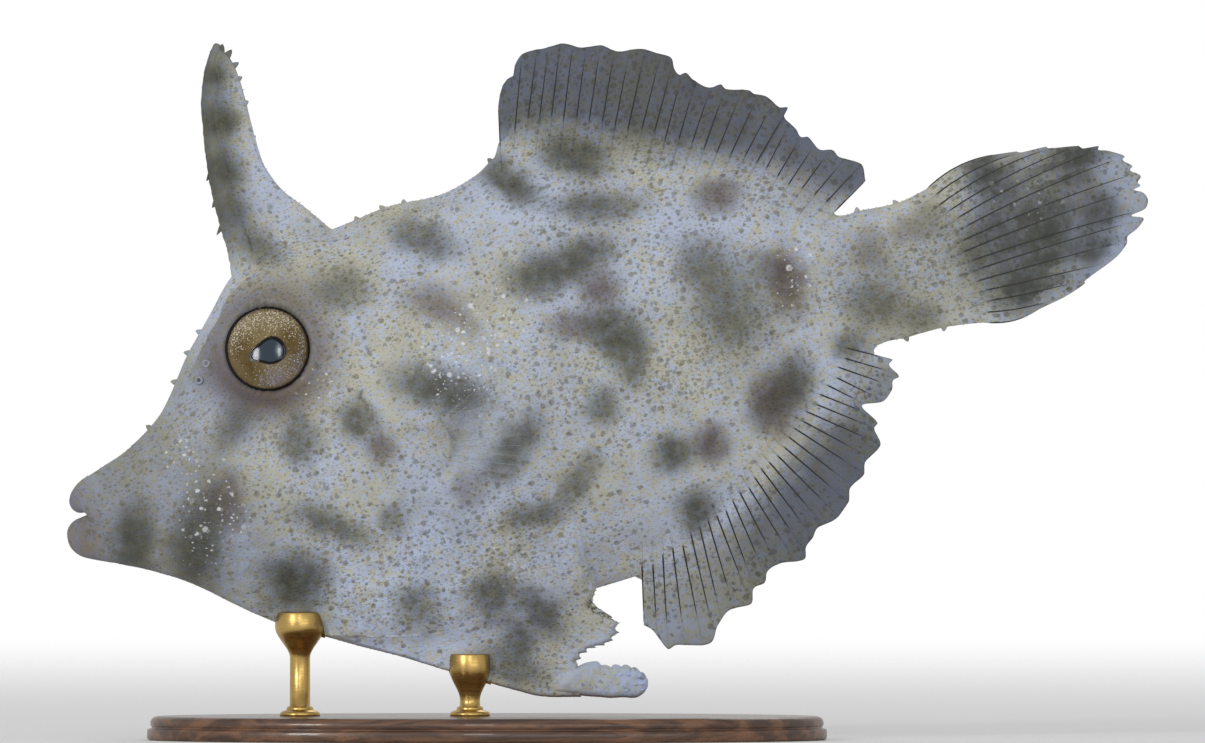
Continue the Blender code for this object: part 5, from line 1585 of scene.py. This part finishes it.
# %% Build the tip of the pelvis
PELVIS_TOP = [(39.8, -28.9), (42.4, -29.2), (44.4, -29.1), (45.4, -29.0), (46.4, -29.2), (47.0, -29.9),
              (48.4, -30.3), (49.6, -30.8), (50.5, -31.7), (50.8, -32.4)]
PELVIS_BOTTOM = [(39.4, -30.2), (41.4, -30.9), (43.4, -31.75), (44.5, -32.25), (45.7, -32.7),
                 (46.7, -33.1), (47.9, -33.4), (49.1, -33.8), (50.0, -33.6), (50.6, -33.1)]
PELVIS_HALF = [(0, 0.1), (0.1, 0.56), (0.3, 0.76), (0.55, 0.76), (0.8, 0.64), (0.93, 0.44), (1, 0.1)]
PELVIS_COLUMNS, PELVIS_ROWS, PELVIS_TEETH, PELVIS_NARROWS = 150, 15, 12, 0.45


def pelvis_grid():
    """The wedge's places on the side view, and how far each is from the middle plane."""
    share, up = np.linspace(0, 1, PELVIS_COLUMNS), np.linspace(0, 1, PELVIS_ROWS)
    high, low = path_at(PELVIS_TOP, share), path_at(PELVIS_BOTTOM, share)
    teeth = np.abs(np.sin(share * np.pi * PELVIS_TEETH)) ** 0.7 - 0.3
    high[:, 1] += 0.3 * smooth(0.5, 0.62, share) * teeth
    place = low[:, None] + (high - low)[:, None] * up[None, :, None]
    half = line_at(PELVIS_HALF, up)[None] * (1 - PELVIS_NARROWS * share**2)[:, None]
    half = half * np.sqrt(1.0001 - share**9)[:, None]
    half = half * smooth(-0.05, 0.36, share)[:, None]
    up_wave = np.sin(up * np.pi * 3 + 0.5)
    scutes = 0.08 * np.sin(share * 38)[:, None] * up_wave[None] * np.sin(up * np.pi)[None]
    return place, half * (1 + 0.8 * scutes) + 0.6 * np.maximum(scutes, 0)


def bluish(points):
    """The pale wash of the pelvis, which comes in behind the flap."""
    return [(paint(176, 184, 204), 0.6 * smooth(43.5, 48.5, points[:, 0]))]


place, half = pelvis_grid()
right, left = (np.stack([place[..., 0], y, place[..., 1]], -1) for y in (half, -half))
around = np.concatenate([right[:, ::-1], left[:, 1:-1]], axis=1)
rows, columns = around.shape[:2]
faces = quads(rows, columns, wrap=True).tolist()
faces += [list(range(columns)), list(range((rows - 1) * columns, rows * columns))[::-1]]
pieces["pelvis"] = add_mesh("pelvis", around.reshape(-1, 3), faces, pelvis_finish)
add_marks(pieces["pelvis"], bluish(points_of(pieces["pelvis"])))
print("the pelvis has", len(faces), "faces")

# %% Thorns of the pelvis
# height on the wedge, and how far the thorns of that row point out
THORN_ROWS = ((0.72, 0.9), (0.45, 0.9), (0.2, 0.5))


def pelvis_thorns():
    """Where the thorns of the pelvis stand, with their directions and sizes."""
    draw = random.Random("pelvis")
    spots = []
    for row, out in THORN_ROWS:
        for share in np.linspace(0.54, 0.95, 7):
            share = share + draw.uniform(-0.04, 0.04)
            low, high = path_at(PELVIS_BOTTOM, share), path_at(PELVIS_TOP, share)
            u, v = low + (high - low) * row
            half_here = float(line_at(PELVIS_HALF, row)) * (1 - PELVIS_NARROWS * share**2)
            for side in (1, -1):
                spots.append(((u, side * half_here * 0.85, v), (0.9, side * out * 0.6, 0), 0.26, 0.2, 0.3))
    return spots


spots = pelvis_thorns()
pieces["pelvis_thorns"] = thorn_set("pelvis_thorns", spots, pelvis_finish, bluish, sides=8, roundness=1.5)
print("thorns of the pelvis:", len(spots))

# %% [markdown]
# ## Small flaps of skin
# This species breaks up its outline with small pointed flaps of skin, on the brow, the nape, the web
# and the tail stalk, and a few on the flanks. They're the same cones, pressed flat.

# %% Build the flaps of skin
# u, length and slant in degrees of each flap on the line of the back
BROW_FLAPS = [(10.5, 0.8, 125), (14.3, 0.9, 150), (16.4, 0.9, 150), (18.1, 0.8, 140)]
NAPE_FLAPS = [(36.4, 0.6, 100), (39.2, 0.8, 120), (41.4, 0.6, 80), (50.9, 0.7, 120)]
STALK_FLAPS = [(84.5, 0.8, 80), (88.4, 0.7, 110)]
# u, v, length, slant, width
HORN_FLAPS = [(28.3, 40.1, 0.8, 60, 0.8), (28.6, 39.4, 1.0, 35, 0.85), (28.8, 38.3, 0.95, 15, 0.8),
              (28.8, 36.9, 0.85, 12, 0.8), (28.8, 34.4, 0.75, 15, 0.8), (28.5, 30.9, 0.7, 10, 0.9)]
# how many flaps there are in all, and how far those of the flanks stay from the eye and the edges
ALL_FLAPS, OFF_EYE, OFF_EDGE = 32, 7, 2


def slanted(slant, up=1):
    """The direction in the middle plane at an angle to the fish's axis."""
    return math.cos(math.radians(slant)), 0, up * math.sin(math.radians(slant))


def flap_spots():
    """Where the flaps of skin stand, with their directions and sizes."""
    draw = random.Random("flaps")
    spots = []
    edge_flaps = [(BACK, 1, *flap) for flap in BROW_FLAPS + NAPE_FLAPS + STALK_FLAPS]
    edge_flaps += [(THROAT, -1, u + 1, length, slant) for u, length, slant in STALK_FLAPS]
    for line, up, u, length, slant in edge_flaps:
        way = np.array(slanted(slant, up))
        foot = np.array((u, 0, float(line_at(line, u)))) - 0.3 * way
        spots.append((foot, way, 0.75, 0.4, 0.5 * length + 0.35))
    for u, v, length, slant, wide in HORN_FLAPS:
        spots.append(((u, 0, v), slanted(slant), wide, 0.4, length))
    while len(spots) < ALL_FLAPS:
        u, v, side = draw.uniform(9, 86), draw.uniform(-15, 15), draw.choice((-1, 1))
        inside = line_at(THROAT, u) + OFF_EDGE < v < line_at(BACK, u) - OFF_EDGE
        if inside and math.hypot(u - EYE[0], v - EYE[1]) > OFF_EYE:
            foot = (u, side * (float(flank(u, v)) - 0.12), v)
            way = (0.9, side * 0.4, draw.uniform(-0.3, 0.3))
            spots.append((foot, way, 0.34, 0.2, draw.uniform(0.5, 0.8)))
    return spots


spots = flap_spots()
pieces["skin_flaps"] = thorn_set("skin_flaps", spots, skin_finish, sides=10, roundness=1.5,
                                 washes=lambda points: [(HORN_GREY, 0.25 + horn_shade(points))])
print("flaps of skin:", len(spots))

# %% [markdown]
# ## Velvet of spinules
# The scales of a filefish are so small that the skin feels like velvet: each carries one or more fine
# spinules, which lean towards the tail. A tree of nodes scatters points over the skin at an even
# distance, puts a tiny three-sided cone on each, and lets it lean. Each spinule keeps the colours of
# its place, and a patch of the map OFBake at its root.

# %% A tree of nodes for spinules
SPACING, SPINULE_LENGTH, SPINULE_WIDTH, PATCH, SEED = 0.42, 0.22, 0.12, 0.003, 4
velvet, given, result = new_group(
    "Spinules on skin", "GeometryNodeTree",
    [("Geometry", "Geometry", None), ("Spacing", "Float", SPACING * MM),
     ("Length", "Float", SPINULE_LENGTH * MM), ("Width", "Float", SPINULE_WIDTH * MM), ("Seed", "Int", SEED),
     ("Finish", "Material", None)],
    [("Geometry", "Geometry")])


def keep_value(geometry, name, value, kind, domain):
    """Stores a value on the spinules' geometry, under a name."""
    inputs = {"Geometry": geometry, "Name": name, "Value": value}
    return node(velvet, "GeometryNodeStoreNamedAttribute", inputs, data_type=kind, domain=domain).outputs[0]


kept = keep_value(given["Geometry"], "root_uv", attribute_of(velvet, "OFBake"), "FLOAT_VECTOR", "CORNER")
kept = node(velvet, "GeometryNodeRemoveAttribute", {"Geometry": kept, "Name": "OFBake"}).outputs[0]
points_on = node(velvet, "GeometryNodeDistributePointsOnFaces",
                 {"Mesh": kept, "Distance Min": given["Spacing"], "Density Max": 2e7, "Seed": given["Seed"],
                  "Density Factor": attribute_of(velvet, "coat", "FLOAT")}, distribute_method="POISSON")
leaning = vectors(velvet, "ADD", points_on.outputs["Normal"], (2.0 * COS, 0, 2.0 * SIN))
cone = node(velvet, "GeometryNodeMeshCone",
            {"Vertices": 3, "Radius Top": 0.0, "Radius Bottom": 0.5, "Depth": 1.0}).outputs[0]
place = node(velvet, "GeometryNodeInputPosition").outputs[0]
cone = keep_value(cone, "patch", place, "FLOAT_VECTOR", "POINT")
varied = node(velvet, "FunctionNodeRandomValue", {2: 0.6, 3: 1.25, "Seed": 8}, data_type="FLOAT").outputs[1]
length = maths(velvet, "MULTIPLY", given["Length"], varied)
size = node(velvet, "ShaderNodeCombineXYZ", {0: given["Width"], 1: given["Width"], 2: length}).outputs[0]
placed = node(velvet, "GeometryNodeInstanceOnPoints",
              {"Points": points_on.outputs["Points"], "Instance": cone, "Rotation": turn_to(velvet, leaning),
               "Scale": size}).outputs[0]
real = node(velvet, "GeometryNodeRealizeInstances", {0: placed}).outputs[0]
patch_uv = vectors(velvet, "MULTIPLY_ADD", attribute_of(velvet, "patch"), (PATCH, PATCH, 0),
                   attribute_of(velvet, "root_uv"))
real = keep_value(real, "OFBake", patch_uv, "FLOAT2", "CORNER")
set_finish(velvet, real, given["Finish"], result["Geometry"])
print("nodes in the tree for spinules:", len(velvet.nodes))

# %% Scatter the spinules
skin_copy = put_in_scene("skin_copy", skin.data.copy())
pieces["spinules"] = run_tree("spinules", skin_copy, velvet, Seed=SEED, Finish=skin_finish)
print("spinules:", len(pieces["spinules"].data.vertices) // 4)

# %% [markdown]
# ## Stand
# The drawing's fish swims, so the model is held by a plain stand: a flat oval of walnut with a moulded
# edge, and two turned brass rods. Each rod ends in a cradle whose cup is cast against the skin: rays
# shot straight up from the cup's points find how low the skin is there.

# %% Walnut and brass
PALE_WALNUT, DARK_WALNUT, PORE_BROWN = paint(116, 80, 54), paint(66, 43, 29), paint(38, 24, 17)
BRIGHT_BRASS, TARNISH = paint(203, 170, 102), paint(140, 106, 60)


def stretched(tree, x, y, z):
    """The place on the object in millimetres, with each axis scaled on its own."""
    return vectors(tree, "MULTIPLY", in_mm(tree), (x, y, z))


walnut, tree, shader = new_finish("walnut under satin varnish")
grain_place = stretched(tree, 0.05, 0.42, 0.6)
warped = noise(tree, grain_place, 0.45, 3.0)
bands = noise(tree, grain_place, maths(tree, "ADD", 1.1, warped), 6.0, Roughness=0.55)
pores = noise(tree, stretched(tree, 0.9, 9.0, 9.0), 0.8, 2.0)
colour = over(tree, ramp(tree, bands, 0.36, 0.64), PALE_WALNUT, DARK_WALNUT)
colour = over(tree, ramp(tree, pores, 0.6, 0.72, 0.0, 0.6), colour, PORE_BROWN)
tree.links.new(colour, shader.inputs["Base Color"])
tree.links.new(ramp(tree, pores, 0.4, 0.7, 0.32, 0.5), shader.inputs["Roughness"])
emboss(tree, shader, maths(tree, "SUBTRACT", 1, pores), 0.2, 0.05)
shader.inputs["Coat Weight"].default_value = 0.35

brass, tree, shader = new_finish("turned brass")
shader.inputs["Metallic"].default_value = 1.0
marks = noise(tree, stretched(tree, 0.5, 0.5, 14.0), 1.0, 3.0)
tarnished = ramp(tree, noise(tree, in_mm(tree), 0.5, 5.0), 0.45, 0.75, 0.0, 0.55)
tree.links.new(over(tree, tarnished, BRIGHT_BRASS, TARNISH), shader.inputs["Base Color"])
tree.links.new(ramp(tree, marks, 0.3, 0.7, 0.24, 0.42), shader.inputs["Roughness"])
emboss(tree, shader, marks, 0.15, 0.03)
print("stand finishes:", walnut.name, "and", brass.name)

# %% Solids of rings


def stack_rings(name, rings, finish):
    """A closed solid of rings of equally many points, in millimetres of the frame."""
    rings = np.array(rings)
    count, turns = rings.shape[:2]
    faces = quads(count, turns, wrap=True).tolist()
    faces += [list(range(turns)), list(range(count * turns - turns, count * turns))]
    return add_mesh(name, to_fish(rings.reshape(-1, 3) * MM), faces, finish)


def oval(x, z, half_x, half_y, turns):
    """A level oval of points in the frame, in millimetres."""
    a = np.linspace(0, 2 * np.pi, turns, endpoint=False)
    return np.stack([x + half_x * np.cos(a), half_y * np.sin(a), np.full(turns, z)], -1)


def skin_above(x, y):
    """How high the skin's lowest point is over a place, in millimetres."""
    hit = skin_tree.ray_cast(Vector((x, y, 0)) * MM, Vector((0, 0, 1)))[0]
    return hit.z / MM if hit else 99.0

print("a solid of 3 rings of 8 points has", len(quads(3, 8, wrap=True)) + 2, "faces")

# %% Build the base and the rods
BASE_X, BASE_LENGTH, BASE_DEPTH, BASE_TURNS, ROD_TURNS = -12, 68, 38, 160, 48
BASE_EDGE = [(0, 0.35), (0.1, 0.1), (0.25, 0), (0.95, 0), (1.08, 0.06), (1.14, 0.2), (1.2, 0.42), (1.3, 0.46),
             (1.4, 0.42), (1.5, 0.34), (1.8, 0.33), (2.05, 0.42), (2.22, 0.58), (2.34, 0.82), (2.39, 1.05),
             (2.4, 1.35)]
COLLAR = [(2.38, 2.0), (2.62, 2.0), (2.78, 1.93), (2.88, 1.75), (2.98, 1.42), (3.1, 1.3), (3.2, 1.34), (3.3, 1.24),
          (3.42, 1.02)]
# name, x, height, and half length and half width of the cradle
RODS = (("front_rod", -30.7, 12.8, 2.5, 3.0), ("rear_rod", -13.7, 8.6, 2.1, 2.2))
ROD_RADIUS, NECK_DEPTH, LIP_DEPTH, FLARE_RINGS = 1.0, 4.6, 1.5, 12
CUP_RINGS, SEAT, ROUNDED = 34, 0.16, 0.12
base_rings = [oval(BASE_X, z, BASE_LENGTH / 2 - inset, BASE_DEPTH / 2 - inset, BASE_TURNS)
              for z, inset in BASE_EDGE]
pieces["base"] = stack_rings("base", base_rings, walnut)
for name, x, top, half_x, half_y in RODS:
    neck = max(top - NECK_DEPTH, COLLAR[-1][0] + 0.2)
    rings = [oval(x, z, r, r, ROD_TURNS) for z, r in COLLAR + [(neck, ROD_RADIUS)]]
    for share in np.linspace(0.1, 1, FLARE_RINGS):
        swell = share**2 * (3 - 2 * share)
        wide_x, wide_y = (ROD_RADIUS + (half - ROD_RADIUS) * swell for half in (half_x, half_y))
        rings.append(oval(x, neck + (top - LIP_DEPTH - neck) * share, wide_x, wide_y, ROD_TURNS))
    for share in (1.0, 0.97, *np.linspace(0.94, 0.03, CUP_RINGS)):
        ring = oval(x, top, half_x * share, half_y * share, ROD_TURNS)
        lip = top - (ROUNDED if share == 1 else 0)
        ring[:, 2] = [min(lip, skin_above(*place[:2]) - SEAT) for place in ring]
        rings.append(ring)
    pieces[name] = stack_rings(name, rings, brass)
print("stand:", BASE_LENGTH, "by", BASE_DEPTH, "mm, with", len(RODS), "rods")

# %% [markdown]
# ## Closed and facing outwards
# A printer, a collision check and a shader all need solids whose faces look outwards and leave no
# hole. Every piece is a closed mesh, so its faces can be turned by one rule, and open edges counted.

# %% Face outwards
open_edges = {}
for name, piece in pieces.items():
    work = bmesh.new()
    work.from_mesh(piece.data)
    bmesh.ops.recalc_face_normals(work, faces=work.faces)
    open_edges[name] = sum(not edge.is_manifold for edge in work.edges)
    work.to_mesh(piece.data)
    work.free()
print("open edges:", {name: count for name, count in open_edges.items() if count})
triangles = {name: sum(len(f.vertices) - 2 for f in piece.data.polygons)
             for name, piece in pieces.items()}
print("triangles:", triangles)

# %% [markdown]
# ## Studio
# The model stands on a plain pale floor that fades into a white surround, so that no horizon
# shows. A long lens far away keeps the side view almost flat, as the drawing is. One large soft lamp
# from the upper left models the form, and three weaker ones fill the shade and light the edges.

# %% Floor and surround
FLOOR_HALF, FADE_FROM, FADE_TO, WHITE_SHOWN, WHITE_LIGHT = 3, 0.12, 0.8, 1.0, 0.62
corners = [(FLOOR_HALF * x, FLOOR_HALF * y, 0) for x, y in ((-1, -1), (1, -1), (1, 1), (-1, 1))]
floor_mesh = bpy.data.meshes.new("floor")
floor_mesh.from_pydata(corners, [], [(0, 1, 2, 3)])
floor = put_in_scene("floor", floor_mesh)
floor_finish, tree, shader = new_finish("pale floor")
shader.inputs["Base Color"].default_value = (0.8, 0.8, 0.8, 1)
shader.inputs["Roughness"].default_value = 0.9
place = node(tree, "ShaderNodeTexCoord").outputs["Object"]
reach = node(tree, "ShaderNodeVectorMath", {0: place}, operation="LENGTH").outputs["Value"]
tree.links.new(ramp(tree, reach, FADE_FROM, FADE_TO, 1.0, 0.0), shader.inputs["Alpha"])
floor_mesh.materials.append(floor_finish)

world = bpy.data.worlds.new("surround")
bpy.context.scene.world = world
world.use_nodes = True
tree = world.node_tree
seen = node(tree, "ShaderNodeLightPath").outputs["Is Camera Ray"]
back = tree.nodes["Background"]
back.inputs["Color"].default_value = (1, 1, 1, 1)
tree.links.new(ramp(tree, seen, 0.0, 1.0, WHITE_LIGHT, WHITE_SHOWN), back.inputs["Strength"])
print("the floor fades from", FADE_FROM, "to", FADE_TO, "m")

# %% Lamps
FISH_MIDDLE = Vector((0, 0, 0.037))
# name, place, power, width and height, in metres
LAMPS = (("key", (-0.74, -0.85, 0.36), 3.4, 0.18, 0.36), ("front", (-0.05, -1.2, 0.5), 1.2, 0.12, 0.3),
         ("fill", (0.35, -0.95, 0.16), 1.1, 0.9, 0.28), ("rim", (0.1, 0.7, 0.6), 0.8, 0.4, 0.4))
for name, place, power, wide, high in LAMPS:
    lamp = bpy.data.lights.new(name, "AREA")
    lamp.shape, lamp.energy, lamp.size, lamp.size_y = "RECTANGLE", power, wide, high
    holder = put_in_scene(name, lamp)
    holder.location = place
    holder.rotation_euler = (FISH_MIDDLE - Vector(place)).to_track_quat("-Z", "Y").to_euler()
print("lamps:", len(LAMPS))

# %% Camera
LENS, FRAME_WIDTH, SENSOR, VIEW_X, VIEW_Z = 600, 0.1205, 36, -0.00045, 0.03685
lens = bpy.data.cameras.new("camera")
lens.lens, lens.sensor_width, lens.clip_end = LENS, SENSOR, 20
camera = put_in_scene("camera", lens)
camera.location = (VIEW_X, -FRAME_WIDTH * LENS / SENSOR, VIEW_Z)
camera.rotation_euler = (math.radians(90), 0, 0)
bpy.context.scene.camera = camera
bpy.context.scene.view_settings.view_transform = "Standard"
print("the camera is", round(-camera.location.y, 3), "m away")

# %% [markdown]
# ## Telling the frame what stands for what
# The solid model stays below as the frame's own shape. Each piece here is fixed to the frame, and
# hides the solids that it stands for, if any.

# %% Fix the pieces to the frame
REPLACED = {
    "skin": ("head", "upper_lip", "lower_lip", "torso", "tail_stalk", "ventral_flap", "spine_web"),
    "left_eye": ("eye_left",), "right_eye": ("eye_right",), "first_spine": ("dorsal_spine",),
    "back_fin": ("soft_dorsal_fin",), "belly_fin": ("anal_fin",), "tail_fin": ("caudal_fin",),
    "left_side_fin": ("pectoral_fin_left",), "right_side_fin": ("pectoral_fin_right",),
    "pelvis": ("pelvic_tip",), "base": ("stand_base",), "front_rod": ("stand_rod_front",),
    "rear_rod": ("stand_rod_rear",)}
SLOTS = {"eye": ("left_eye", "right_eye"), "spine": ("first_spine", "barbs"),
         "fin_membrane": ("back_fin", "back_fin_rays", "belly_fin", "belly_fin_rays"),
         "tail_membrane": ("tail_fin", "tail_fin_rays"),
         "clear_membrane": ("left_side_fin", "left_side_fin_rays", "right_side_fin", "right_side_fin_rays"),
         "base_wood": ("base",), "rod_brass": ("front_rod", "rear_rod")}
slot_of = {name: slot for slot, names in SLOTS.items() for name in names}
for name, piece in pieces.items():
    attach(piece, "root")
    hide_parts(*REPLACED.get(name, ()))
    slot_of.get(name, "skin")
print(len(pieces), "pieces stand for", sum(len(nodes) for nodes in REPLACED.values()), "solids")
